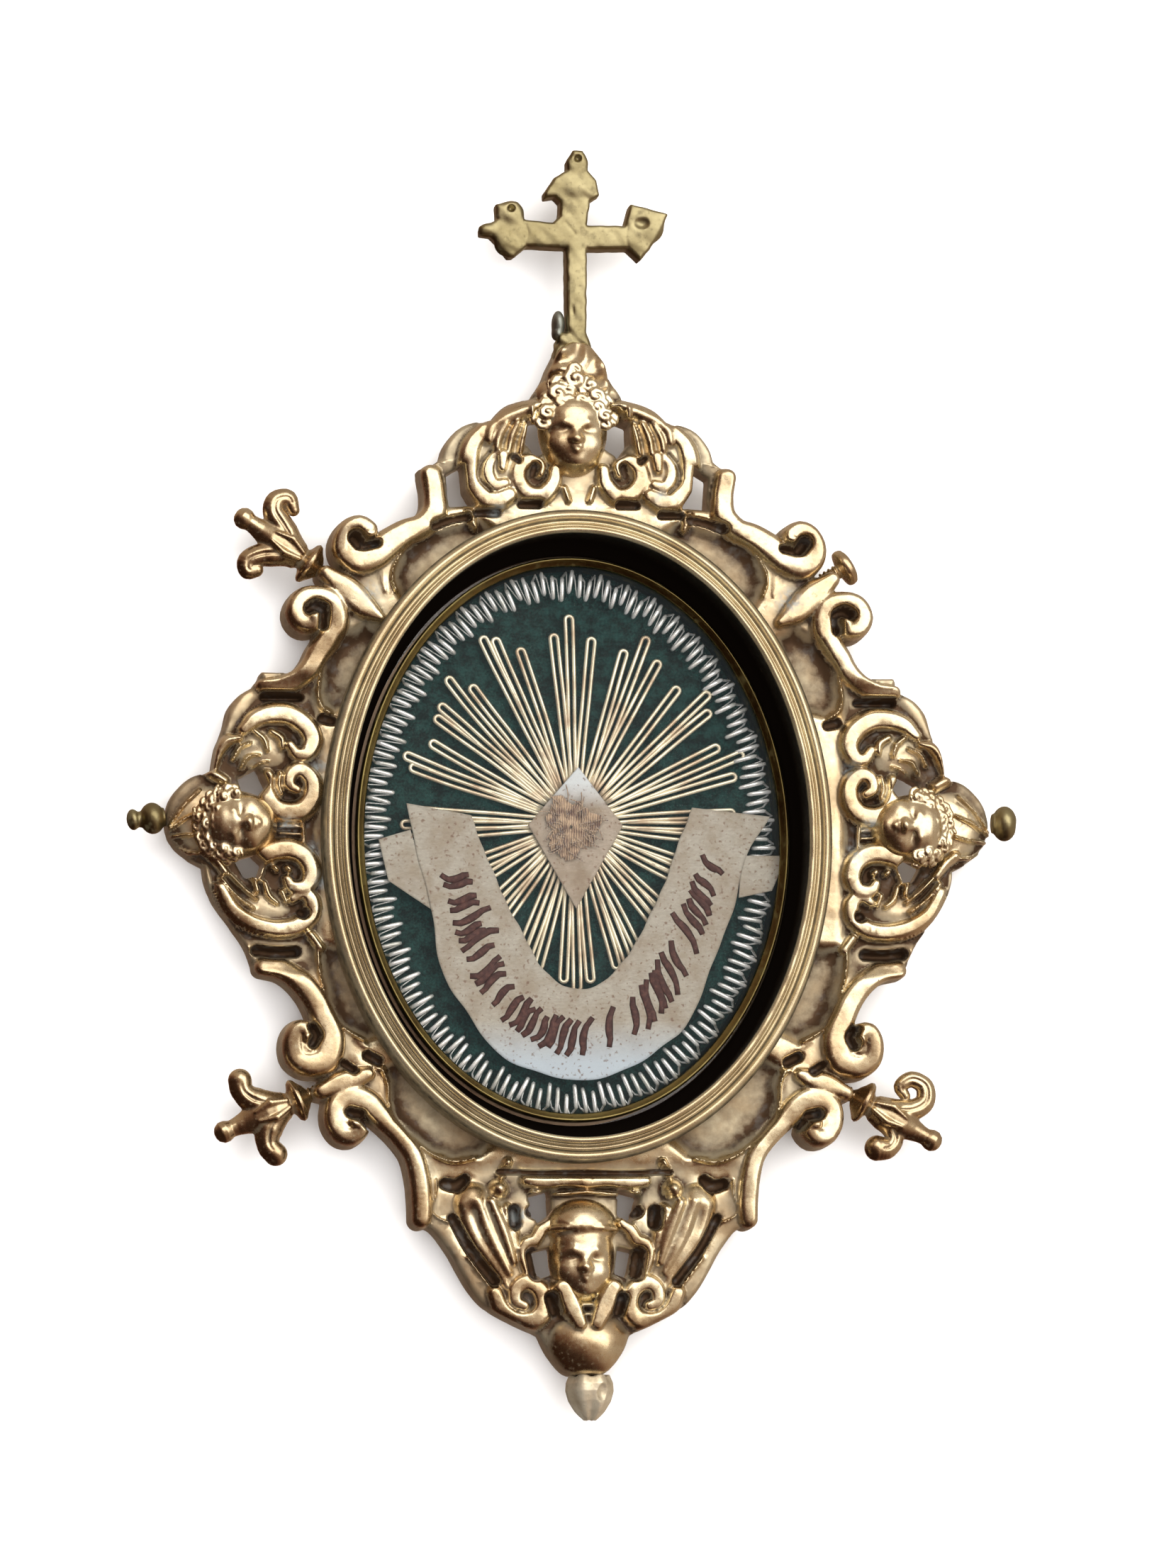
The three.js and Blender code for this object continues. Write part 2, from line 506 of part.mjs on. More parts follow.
// Crimped silver wire laid as a border: an oval ring whose top rises and falls.
function coilBorder() {
  const { width, bottom, top, ripple, shoulder } = BORDER;
  const rings = [];
  for (let i = 0; i < OVAL_STEPS; i++) {
    const turn = (i / OVAL_STEPS) * 2 * Math.PI;
    const crest = i % 2 ? top : top - ripple;
    const section = [
      [-width, bottom], [-0.1, bottom], [-0.3, crest - shoulder],
      [-width / 2, crest], [-width + 0.2, crest - shoulder],
    ];
    rings.push(section.map(([offset, z]) => onOval(inside.a + offset, inside.b + offset, turn, z)));
  }
  return solid(skin(rings.reverse(), true));
}

// Gold wires in groups of three about the relic, as one star cut from their plan
const RAYS = { groups: 16, spread: 6.2, half: 0.27, hub: [0, 1.2], reach: 16.1, rise: 3.5, step: 1.6 };

function rayWires() {
  const turns = [];
  for (let group = 0; group < RAYS.groups; group++) {
    const middle = 90 + (group * 360) / RAYS.groups;
    const upward = Math.max(0, Math.sin(THREE.MathUtils.degToRad(middle)));
    const reach = RAYS.reach + RAYS.rise * upward ** 2;
    for (const step of [-1, 0, 1]) {
      const angle = THREE.MathUtils.degToRad(middle + step * RAYS.spread);
      turns.push({ angle, length: reach - Math.abs(step) * RAYS.step });
    }
  }
  const outline = [];
  const at = (angle, along, aside) =>
    new THREE.Vector2(
      RAYS.hub[0] + along * Math.cos(angle) - aside * Math.sin(angle),
      RAYS.hub[1] + along * Math.sin(angle) + aside * Math.cos(angle),
    );
  turns.forEach(({ angle, length }, i) => {
    const next = turns[(i + 1) % turns.length];
    const apart = (((next.angle - angle) % (2 * Math.PI)) + 2 * Math.PI) % (2 * Math.PI);
    outline.push(at(angle, length, -RAYS.half), at(angle, length, RAYS.half));
    outline.push(at(angle + apart / 2, RAYS.half / Math.sin(apart / 2), 0));
  });
  return solid(slab(new THREE.Shape(outline), WIRE.bottom, WIRE.top));
}

// Paper or cloth cut flat to a plan
const sheet = (points, bottom) => solid(slab(new THREE.Shape(plan(points)), bottom, bottom + PAPER));

const LOZENGE = [[0.3, 6.5], [-4.5, 1.0], [0.0, -6.9], [4.5, 1.0]];
const CLOTH = [[-0.6, 3.4], [-3.2, 1.2], [-0.6, -1.8], [2.2, 0.9]];

// The curved parchment label: its middle line from the left end to the right, its half widths along that
// line, and the folded tail at each end
const LABEL = {
  middle: [
    [-13.6, 2.1], [-11.8, -2.3], [-9.9, -8.2], [-7.5, -13.7], [-4.3, -17.3], [-0.2, -18.9],
    [4.3, -17.3], [8.1, -12.8], [11.3, -6.2], [13.2, -1.8], [15.0, 1.7],
  ],
  halfWidths: [2.9, 2.5, 2.5, 2.7, 3.1, 3.6, 3.4, 2.9, 2.7, 2.6, 2.6],
  leftTail: [[-14.4, -2.4], [-15.9, -0.9], [-18.9, -0.8], [-18.1, -3.5], [-15.8, -5.8], [-13.6, -6.2]],
  rightTail: [[14.4, -0.8], [19.6, -2.3], [19.1, -4.2], [16.9, -5.9], [12.6, -5.7]],
  steps: 20,
};

function label() {
  const bottom = BORDER.top + GAP;
  const curve = spline(LABEL.middle);
  const inner = [];
  const outer = [];
  for (let i = 0; i <= LABEL.steps; i++) {
    const t = i / LABEL.steps;
    const at = curve.getPoint(t);
    const along = curve.getTangent(t);
    const half = between(LABEL.halfWidths, t);
    inner.push([at.x - along.y * half, at.y + along.x * half]);
    outer.push([at.x + along.y * half, at.y - along.x * half]);
  }
  return join([
    sheet([...outer, ...inner.reverse()], bottom),
    sheet(LABEL.leftTail, bottom),
    sheet(LABEL.rightTail, bottom),
  ]);
}

// The reliquary

const reliquary = new THREE.Group();

function piece(name, body, material) {
  const mesh = new THREE.Mesh(geometryOf(body), material);
  mesh.name = name;
  reliquary.add(mesh);
  return mesh;
}

// Sets a piece that is built along +Y on its root, with its axis turned to an angle in the plate's plane.
function plant(mesh, [x, y], degrees, z = 5.6) {
  mesh.position.set(x, y, z);
  mesh.rotation.z = THREE.MathUtils.degToRad(degrees - 90);
}

piece("frame", frame(), giltBronze());
piece("cross", cross(), oliveBrass());
for (const [name, { root, axis, curls }] of Object.entries(FLEURONS)) {
  plant(piece(name, fleuron(curls), giltBronze()), root, axis);
}
plant(piece("fleuron_stub_upper_right", turned(STUB_PROFILE, 8), giltBronze()), STUB.root, STUB.axis);
plant(piece("side_knob_left", turned(KNOB_PROFILE, 8), oliveBrass()), [-39.4, 1.2], 187);
plant(piece("side_knob_right", turned(SHORT_KNOB_PROFILE, 8), oliveBrass()), [39.4, 1.2], 0);
plant(piece("bottom_bud", turned(BUD_PROFILE, 8), paleMetal()), [0.6, -51.3], -90);
piece("capsule", capsule(), oliveBrass());
piece("glass_pane", solid(ovalBlock(inside.a, inside.b, GLASS.bottom, GLASS.top)), clearGlass());
piece("velvet_pad", solid(ovalBlock(inside.a, inside.b, PAD.bottom, PAD.top)), velvet());
piece("coil_border", coilBorder(), silverWire());
piece("ray_wires", rayWires(), goldWire());
piece("relic_lozenge", sheet(LOZENGE, WIRE.top + GAP), parchment());
piece("relic_cloth", sheet(CLOTH, WIRE.top + PAPER + 2 * GAP), relicLinen());
piece("label_banner", label(), parchment());

export default reliquary;
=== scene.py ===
"""A reliquary in gilt cast bronze, dressed for the render.

An oval frame with cherub heads, wings and scrolls holds a glazed capsule with a relic in it. A brass
cross stands on top, and three screwed-in fleurons, the stub of a fourth, two side knobs and a pale bud
finish the outline. Sizes are in millimetres until a mesh is made, and meshes are in metres.
X runs to the right, Y towards the cross and Z out of the front.
"""

from __future__ import annotations

import logging
import math
from collections.abc import Iterator
from dataclasses import dataclass
from enum import Enum

import bpy
import numpy as np
import openvdb
from mathutils import Matrix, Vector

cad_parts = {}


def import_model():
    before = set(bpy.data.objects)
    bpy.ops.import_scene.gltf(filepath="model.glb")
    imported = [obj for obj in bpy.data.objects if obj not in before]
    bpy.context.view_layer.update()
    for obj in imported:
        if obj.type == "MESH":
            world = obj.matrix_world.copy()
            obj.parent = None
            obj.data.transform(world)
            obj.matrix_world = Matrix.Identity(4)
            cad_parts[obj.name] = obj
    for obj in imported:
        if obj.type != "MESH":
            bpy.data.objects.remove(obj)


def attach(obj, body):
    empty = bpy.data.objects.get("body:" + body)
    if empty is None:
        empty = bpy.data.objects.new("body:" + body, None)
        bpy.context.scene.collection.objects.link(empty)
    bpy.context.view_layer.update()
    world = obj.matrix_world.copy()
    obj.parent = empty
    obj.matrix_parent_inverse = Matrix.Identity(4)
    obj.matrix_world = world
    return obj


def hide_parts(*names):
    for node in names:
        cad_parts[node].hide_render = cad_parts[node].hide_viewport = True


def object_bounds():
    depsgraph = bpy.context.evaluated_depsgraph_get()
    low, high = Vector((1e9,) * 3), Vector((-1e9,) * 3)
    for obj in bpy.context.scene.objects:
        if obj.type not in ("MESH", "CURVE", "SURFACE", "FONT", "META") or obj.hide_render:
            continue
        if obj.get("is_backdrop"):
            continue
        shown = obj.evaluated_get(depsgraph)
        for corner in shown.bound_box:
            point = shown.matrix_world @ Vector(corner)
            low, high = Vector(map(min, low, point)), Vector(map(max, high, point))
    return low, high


LOG = logging.getLogger("reliquary")
MM = 0.001
Array = np.ndarray
Path = tuple[tuple[float, float], ...]
Spot = tuple[float, float, float]
Colour = tuple[float, float, float]
Skin = tuple[Array, Array]  # vertices in millimetres and faces
Piece = bpy.types.Object
Finish = bpy.types.Material
Socket = bpy.types.NodeSocket

PLATE_BACK = 3.4  # flat back of the frame casting
GROUND = 5.8  # lowest ground of its relief
OVAL_MIDDLE = (-0.6, -0.55)
STEEP = 5.0  # rise per millimetre of the sides of a raised form
LINE_STEP = 0.4  # distance between the points of a drawn line
SEED = 1740


def smooth_max(a: Array, b: Array, radius: float) -> Array:
    """Returns the larger of two fields, with the crease between them rounded by a radius."""
    return 0.5 * (a + b + np.sqrt((a - b) ** 2 + radius * radius))


def smooth_min(a: Array, b: Array, radius: float) -> Array:
    """Returns the smaller of two fields, with the crease between them rounded by a radius."""
    return -smooth_max(-a, -b, radius)


def smooth_line(nodes: Array, step: float) -> Array:
    """Runs a smooth curve through rows of numbers.

    Args:
        nodes: Rows of numbers, of which the first two are a place in the plane.
        step: Distance between points of the curve.

    Returns:
        The rows along the curve, the given ones among them.
    """
    nodes = np.asarray(nodes, float)
    ends = np.vstack([2 * nodes[0] - nodes[1], nodes, 2 * nodes[-1] - nodes[-2]])
    rows = []
    for p, q, r, s in zip(ends, ends[1:], ends[2:], ends[3:]):
        count = max(2, math.ceil(np.linalg.norm(r[:2] - q[:2]) / step))
        t = (np.arange(count) / count)[:, None]
        cubic = 2 * q + (r - p) * t + (2 * p - 5 * q + 4 * r - s) * t**2 + (3 * q - p - 3 * r + s) * t**3
        rows.append(0.5 * cubic)
    rows.append(nodes[-1:])
    return np.vstack(rows)


def grid_pitch(pitch: float) -> float:
    return pitch * 1


def spread(values: float | tuple[float, ...], count: int) -> Array:
    """Returns a number, or a few along a line, as one number for each of count points."""
    values = np.atleast_1d(np.asarray(values, float))
    return np.interp(np.linspace(0, 1, count), np.linspace(0, 1, len(values)), values)


def soft_noise(shape: tuple[int, int], grain: float, seed: int) -> Array:
    """Makes a smooth random field.

    Args:
        shape: Rows and columns of the field.
        grain: Size of its swells, in cells.
        seed: What its draw starts from.

    Returns:
        The field, with a mean of 0 and a spread of 1.
    """
    swells = blurred(np.random.default_rng(seed).standard_normal(shape), grain)
    return (swells - swells.mean()) / swells.std()


def blurred(values: Array, radius: float) -> Array:
    """Blurs a field by a bell curve.

    Args:
        values: The field.
        radius: Radius of the curve, in cells.

    Returns:
        The blurred field.
    """
    rows = np.fft.fftfreq(values.shape[0])[:, None]
    columns = np.fft.rfftfreq(values.shape[1])[None, :]
    bell = np.exp(-2 * (math.pi * radius) ** 2 * (rows**2 + columns**2))
    return np.fft.irfft2(np.fft.rfft2(values) * bell, s=values.shape)


def polygon_distance(points: Array, x: Array, y: Array) -> Array:
    """Measures from places in the plane to a closed outline.

    Args:
        points: Corners of the outline.
        x: Where the places are along X.
        y: Where the places are along Y.

    Returns:
        The distances, negative inside.
    """
    nearest = np.full(x.shape, 1e6)
    inside = np.zeros(x.shape, bool)
    for (ax, ay), (bx, by) in zip(points, np.roll(points, -1, axis=0)):
        dx, dy = bx - ax, by - ay
        px, py = x - ax, y - ay
        t = np.clip((px * dx + py * dy) / max(dx * dx + dy * dy, 1e-9), 0, 1)
        nearest = np.minimum(nearest, (px - t * dx) ** 2 + (py - t * dy) ** 2)
        if ay != by:
            inside ^= ((ay > y) != (by > y)) & (px < dx * py / dy)
    return np.where(inside, -1, 1) * np.sqrt(nearest)


class Section(Enum):
    """How the front of a raised form runs from its crest down to its sides."""

    ROUND = "round"
    FLAT = "flat"
    RIDGE = "ridge"

    def share(self, across: Array) -> Array:
        """Shapes the front of a form.

        Args:
            across: Distance from its middle line over its half width, 0 on the line and 1 at the side.

        Returns:
            The height there, as a share of the crest's height.
        """
        u = np.clip(across, 0, 1)
        if self is Section.ROUND:
            return np.sqrt(1 - 0.9 * u * u)
        if self is Section.FLAT:
            return 1 - 0.35 * np.clip((u - 0.45) / 0.55, 0, 1) ** 2
        return 1 - 0.62 * u


@dataclass(frozen=True)
class Stroke:
    """One raised form, or one groove, drawn along a smooth line.

    Attributes:
        path: Points of its middle line.
        half: Half its width, along the line.
        crest: Height of its crest, or of a groove's floor, along the line.
        section: How its front is shaped.
        blend: Rounding where it meets its neighbours.
        deep: Whether it runs through the whole thickness of the casting.
    """

    path: Path
    half: float | tuple[float, ...]
    crest: float | tuple[float, ...]
    section: Section = Section.ROUND
    blend: float = 0.12
    deep: bool = False

    def line(self, mirrored: bool) -> Array:
        """Draws its middle line.

        Args:
            mirrored: Whether the mirror image is drawn.

        Returns:
            Rows of x, y, half width and crest along it.
        """
        nodes = np.array(self.path, float)
        if mirrored:
            nodes[:, 0] *= -1
        count = len(nodes)
        nodes = np.column_stack([nodes, spread(self.half, count), spread(self.crest, count)])
        return smooth_line(nodes, LINE_STEP)


class Relief:
    """A casting modelled as a height map inside an outline."""

    def __init__(self, low: tuple[float, float], high: tuple[float, float], pitch: float) -> None:
        """Lays out a flat ground.

        Args:
            low: Lower left corner of the map.
            high: Upper right corner.
            pitch: Distance between its points.
        """
        self.low = low
        self.pitch = pitch
        self.xs = np.arange(low[0], high[0], pitch)
        self.ys = np.arange(low[1], high[1], pitch)
        self.x, self.y = np.meshgrid(self.xs, self.ys, indexing="ij")
        self.top = np.full(self.x.shape, GROUND)
        self.plan = np.full(self.x.shape, 50.0)

    def window(self, line: Array, reach: float) -> tuple[slice, slice]:
        """Finds the part of the map within reach of a line.

        Args:
            line: Rows that start with x and y.
            reach: How far from the line the part goes.

        Returns:
            The part's rows and columns.
        """
        low = (line[:, :2].min(0) - reach - self.low) / self.pitch
        high = (line[:, :2].max(0) + reach - self.low) / self.pitch
        return tuple(slice(max(0, int(a)), int(b) + 2) for a, b in zip(low, high))

    def trace(self, stroke: Stroke, mirrored: bool) -> tuple[tuple[slice, slice], Array, Array, Array]:
        """Measures from the map to the middle line of a stroke.

        Args:
            stroke: The stroke.
            mirrored: Whether its mirror image is meant.

        Returns:
            The part of the map near it, and there the distance to the line less its half width, the distance
            over the half width, and the crest.
        """
        line = stroke.line(mirrored)
        part = self.window(line, line[:, 2].max() + 1.0)
        x, y = self.x[part], self.y[part]
        best = np.full(x.shape, 1e6)
        over = best.copy()
        half = best.copy()
        crest = best.copy()
        for a, b in zip(line, line[1:]):
            dx, dy = b[0] - a[0], b[1] - a[1]
            t = np.clip(((x - a[0]) * dx + (y - a[1]) * dy) / max(dx * dx + dy * dy, 1e-9), 0, 1)
            gap = np.hypot(x - a[0] - t * dx, y - a[1] - t * dy)
            here = a[2] + t * (b[2] - a[2])
            closer = gap - here < over
            over = np.where(closer, gap - here, over)
            best = np.where(closer, gap, best)
            half = np.where(closer, here, half)
            crest = np.where(closer, a[3] + t * (b[3] - a[3]), crest)
        return part, over, best / half, crest

    def press(self, stroke: Stroke, mirrored: bool = False) -> None:
        """Raises a form on the ground.

        Args:
            stroke: The form.
            mirrored: Whether its mirror image is raised.
        """
        part, over, across, crest = self.trace(stroke, mirrored)
        height = GROUND + (crest - GROUND) * stroke.section.share(across) - STEEP * np.maximum(over, 0)
        self.top[part] = smooth_max(self.top[part], height, stroke.blend)
        if stroke.deep:
            self.plan[part] = smooth_min(self.plan[part], over, 0.2)

    def carve(self, stroke: Stroke, mirrored: bool = False) -> None:
        """Sinks a groove or a hollow.

        Args:
            stroke: The groove, whose crest is the height of its floor.
            mirrored: Whether its mirror image is sunk.
        """
        part, over, across, floor = self.trace(stroke, mirrored)
        dish = 0.5 * np.clip(across, 0, 1) ** 2 * np.mean(stroke.half)
        height = floor + dish + STEEP * np.maximum(over, 0)
        self.top[part] = smooth_min(self.top[part], height, stroke.blend)

    def dome(self, middle: tuple[float, float], radii: tuple[float, float], crest: float) -> None:
        """Raises an oval dome.

        Args:
            middle: Its middle.
            radii: Its half axes along X and Y.
            crest: Height of its top.
        """
        away = np.hypot((self.x - middle[0]) / radii[0], (self.y - middle[1]) / radii[1])
        height = GROUND + (crest - GROUND) * np.sqrt(np.clip(1 - away**2, 0, 1))
        height -= STEEP * np.maximum(away - 1, 0) * min(radii)
        near = away < 1.6
        self.top[near] = smooth_max(self.top[near], height[near], 0.15)

    def both_sides(self, outlines: tuple[Path, ...]) -> Iterator[Array]:
        """Measures to outlines and to their mirror images.

        Args:
            outlines: The outlines.

        Yields:
            The distances to each, negative inside.
        """
        for outline in outlines:
            for side in (1, -1):
                yield polygon_distance(np.array(outline) * (side, 1), self.x, self.y)

    def recesses(self, radius: float) -> Array:
        """Returns how deep each point lies below its surroundings, within a radius."""
        return blurred(self.top, radius / self.pitch) - self.top

    def cast(self, back: float, edge: float) -> Skin:
        """Turns the map into a closed skin.

        Args:
            back: Height of its flat back.
            edge: Rounding of the rim between front and sides.

        Returns:
            Vertices in millimetres and faces of four corners.
        """
        layers = np.arange(back - 4 * self.pitch, self.top.max() + 4 * self.pitch, self.pitch)
        layers = layers.astype(np.float32)[None, None, :]
        slope_x, slope_y = np.gradient(self.top, self.pitch)
        level = (1 / np.sqrt(1 + slope_x**2 + slope_y**2)).astype(np.float32)[:, :, None]
        body = (layers - self.top.astype(np.float32)[:, :, None]) * level
        body = smooth_max(body, self.plan.astype(np.float32)[:, :, None], edge)
        body = smooth_max(body, back - layers, 0.2)
        return skin_of(body, (self.low[0], self.low[1], float(layers[0, 0, 0])), self.pitch)


def skin_of(body: Array, low: Spot, pitch: float) -> Skin:
    """Finds the surface of a solid that is given as distances on a grid.

    Args:
        body: Distances to the surface, negative inside.
        low: Place of the grid's first point.
        pitch: Distance between its points.

    Returns:
        Vertices in millimetres and faces of four corners, facing out.
    """
    band = 3 * pitch
    grid = openvdb.FloatGrid(band)
    grid.copyFromArray(np.clip(body, -band, band).astype(np.float32))
    points, _, quads = grid.convertToPolygons(0.0, 0.0)
    points = points * pitch + np.array(low)
    a, b, c = (points[quads[:, i]] for i in range(3))
    if np.einsum("ij,ij->i", np.cross(b - a, c - a), a - points.mean(0)).sum() < 0:
        quads = quads[:, ::-1]
    return points, quads


class Clay:
    """A free form modelled as distances on a grid, negative inside."""

    def __init__(self, low: Spot, high: Spot,
                 pitch: float) -> None:
        """Lays out an empty grid.

        Args:
            low: Lowest corner.
            high: Highest corner.
            pitch: Distance between its points.
        """
        axes = [np.arange(a, b + pitch, pitch) for a, b in zip(low, high)]
        self.low = low
        self.pitch = pitch
        self.at = np.stack(np.meshgrid(*axes, indexing="ij"), axis=-1).astype(np.float32)
        self.body = np.full(self.at.shape[:3], 20.0, np.float32)

    def add(self, form: Array, blend: float) -> None:
        """Joins a form on, rounding the crease by a radius."""
        self.body = smooth_min(self.body, form, blend)

    def cut(self, form: Array, blend: float) -> None:
        """Cuts a form away, rounding the edge by a radius."""
        self.body = smooth_max(self.body, -form, blend)

    def egg(self, middle: Spot, radii: Spot) -> Array:
        """Measures to an egg.

        Args:
            middle: Its middle.
            radii: Its half axes.

        Returns:
            The distances.
        """
        radii = np.asarray(radii, np.float32)
        away = (self.at - np.asarray(middle, np.float32)) / radii
        near = np.linalg.norm(away, axis=-1) + 1e-6
        return near * (near - 1) / (np.linalg.norm(away / radii, axis=-1) + 1e-6)

    def strand(self, points: list[Spot], radii: float | tuple[float, ...]) -> Array:
        """Measures to a round strand.

        Args:
            points: What it runs through.
            radii: Its radius, or a few radii along it.

        Returns:
            The distances, held to 2 away from it.
        """
        points = np.asarray(points, float)
        radii = spread(radii, len(points))
        best = np.full(self.body.shape, 2.0, np.float32)
        for p, q, r, s in zip(points, points[1:], radii, radii[1:]):
            low = (np.minimum(p, q) - max(r, s) - 1 - self.low) / self.pitch
            high = (np.maximum(p, q) + max(r, s) + 1 - self.low) / self.pitch
            part = tuple(slice(max(0, int(a)), max(0, int(b) + 2)) for a, b in zip(low, high))
            along = (q - p).astype(np.float32)
            away = self.at[part] - p.astype(np.float32)
            t = np.clip(away @ along / max(float(along @ along), 1e-9), 0, 1)
            gap = np.linalg.norm(away - t[..., None] * along, axis=-1) - (r + t * (s - r))
            best[part] = np.minimum(best[part], gap)
        return best

    def turned(self, profile: list[tuple[float, float]]) -> Array:
        """Measures to a form turned about the Y axis.

        Args:
            profile: Radius and height of each corner of its profile.

        Returns:
            The distances.
        """
        radius = np.hypot(self.at[..., 0], self.at[..., 2])
        table = np.array([(0, profile[0][1]), *profile, (0, profile[-1][1])], float)
        reach = float(radius.max())
        r_axis = np.arange(0, reach + self.pitch, self.pitch)
        y_axis = self.at[0, :, 0, 1]
        r, y = np.meshgrid(r_axis, y_axis, indexing="ij")
        mirrored = np.vstack([table, (table * (-1, 1))[::-1]])
        flat = polygon_distance(mirrored, r, y)
        place = radius / self.pitch
        cell = np.clip(place.astype(int), 0, len(r_axis) - 2)
        part = place - cell
        rows = np.arange(len(y_axis))[None, :, None]
        return (flat[cell, rows] * (1 - part) + flat[cell + 1, rows] * part).astype(np.float32)

    def slab(self, outline: Array, back: float, front: float, edge: float) -> Array:
        """Measures to a flat outline cut out between two heights.

        Args:
            outline: Its corners.
            back: Height of its back.
            front: Height of its front.
            edge: Rounding of its edges.

        Returns:
            The distances.
        """
        x, y = self.at[:, :, 0, 0], self.at[:, :, 0, 1]
        plan = polygon_distance(outline, x, y)[:, :, None].astype(np.float32)
        z = self.at[..., 2]
        return smooth_max(smooth_max(plan, z - front, edge), back - z, edge)

    def skin(self) -> Skin:
        """Returns the surface as vertices in millimetres and faces of four corners."""
        return skin_of(self.body, self.low, self.pitch)

    def hollows(self, size: float) -> Array:
        """Finds how far each point of the skin lies below its surroundings.

        Args:
            size: How much larger the form will get.

        Returns:
            The depths, in the order of the skin's vertices.
        """
        points, _ = self.skin()
        soft = self.body.copy()
        reach = max(1, round(0.45 / self.pitch / size))
        for axis in range(3):
            soft = sum(np.roll(soft, shift, axis) for shift in range(-reach, reach + 1)) / (2 * reach + 1)
        cell = ((points - np.array(self.low)) / self.pitch).round().astype(int)
        cell = np.clip(cell, 0, np.array(self.body.shape) - 1)
        return 2.2 * (self.body - soft)[tuple(cell.T)] * size


def turned_about_z(points: Array, degrees: float, place: Spot) -> Array:
    """Turns points about the Z axis and moves them to a place.

    Args:
        points: The points.
        degrees: How far they turn.
        place: Where the origin goes.

    Returns:
        The points there.
    """
    turn = math.radians(degrees)
    c, s = math.cos(turn), math.sin(turn)
    return points @ np.array([[c, s, 0], [-s, c, 0], [0, 0, 1]]) + np.array(place)


def make_mesh(name: str, skin: Skin, *finishes: Finish, second_from: int = 0) -> Piece:
    """Makes a smooth mesh object.

    Args:
        name: Its name.
        skin: Its vertices and faces.
        finishes: Its finish, and a second one if it has one.
        second_from: The first face of the second finish.

    Returns:
        The object, in the scene.
    """
    points, faces = skin
    mesh = bpy.data.meshes.new(name)
    size = faces.shape[1]
    mesh.vertices.add(len(points))
    mesh.loops.add(faces.size)
    mesh.polygons.add(len(faces))
    mesh.vertices.foreach_set("co", (np.asarray(points, float) * MM).astype(np.float32).ravel())
    mesh.loops.foreach_set("vertex_index", faces.astype(np.int32).ravel())
    mesh.polygons.foreach_set("loop_start", np.arange(0, faces.size, size, dtype=np.int32))
    mesh.polygons.foreach_set("use_smooth", np.ones(len(faces), bool))
    mesh.update(calc_edges=True)
    for finish in finishes:
        mesh.materials.append(finish)
    if second_from:
        mesh.polygons.foreach_set("material_index", (np.arange(len(faces)) >= second_from).astype(np.int32))
    piece = bpy.data.objects.new(name, mesh)
    bpy.context.scene.collection.objects.link(piece)
    return piece


def thin(piece: Piece, triangles: int) -> None:
    """Thins a mesh out, most where it is flat.

    Args:
        piece: The object.
        triangles: About how many triangles stay.
    """
    count = sum(len(p.vertices) - 2 for p in piece.data.polygons)
    if count <= triangles:
        return
    modifier = piece.modifiers.new("thin", "DECIMATE")
    modifier.ratio = triangles / count
    graph = bpy.context.evaluated_depsgraph_get()
    lighter = bpy.data.meshes.new_from_object(piece.evaluated_get(graph))
    piece.modifiers.clear()
    heavy = piece.data
    piece.data = lighter
    lighter.name = piece.name
    bpy.data.meshes.remove(heavy)
    lighter.polygons.foreach_set("use_smooth", np.ones(len(lighter.polygons), bool))


def places_of(piece: Piece) -> Array:
    """Reads where a mesh's vertices are.

    Args:
        piece: The object.

    Returns:
        Their places in millimetres.
    """
    flat = np.zeros(len(piece.data.vertices) * 3, np.float32)
    piece.data.vertices.foreach_get("co", flat)
    return flat.reshape(-1, 3) / MM


def paint(piece: Piece, name: str, values: Array) -> None:
    """Stores a number for each vertex, under a name that a finish reads."""
    layer = piece.data.attributes.new(name, "FLOAT", "POINT")
    layer.data.foreach_set("value", np.asarray(values, np.float32))


def place(piece: Piece, slot: str, *nodes: str) -> None:
    """Makes a piece stand for solids of the part.

    Args:
        piece: The piece.
        slot: Not used.
        nodes: The solids that it stands for.
    """
    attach(piece, "root")
    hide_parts(*nodes)
    triangles = sum(len(p.vertices) - 2 for p in piece.data.polygons)
    LOG.info("built %s for %s: %d triangles", piece.name, ", ".join(nodes), triangles)


def set_down(clay: Clay, name: str, metal: Finish, degrees: float, root: Spot,
             size: Spot = (1.0, 1.0, 1.0)) -> Piece:
    """Takes a form out of its clay, turns it and sets it on its root, no lower than the frame's back.

    Args:
        clay: The form.
        name: Name of the piece.
        metal: Its finish.
        degrees: How far it turns about the Z axis.
        root: Where the clay's origin goes.
        size: How much larger it gets along each axis.

    Returns:
        The object.
    """
    points, faces = clay.skin()
    points = turned_about_z(points * size, degrees, root)
    points[:, 2] = np.maximum(points[:, 2], PLATE_BACK)
    return make_mesh(name, (points, faces), metal)


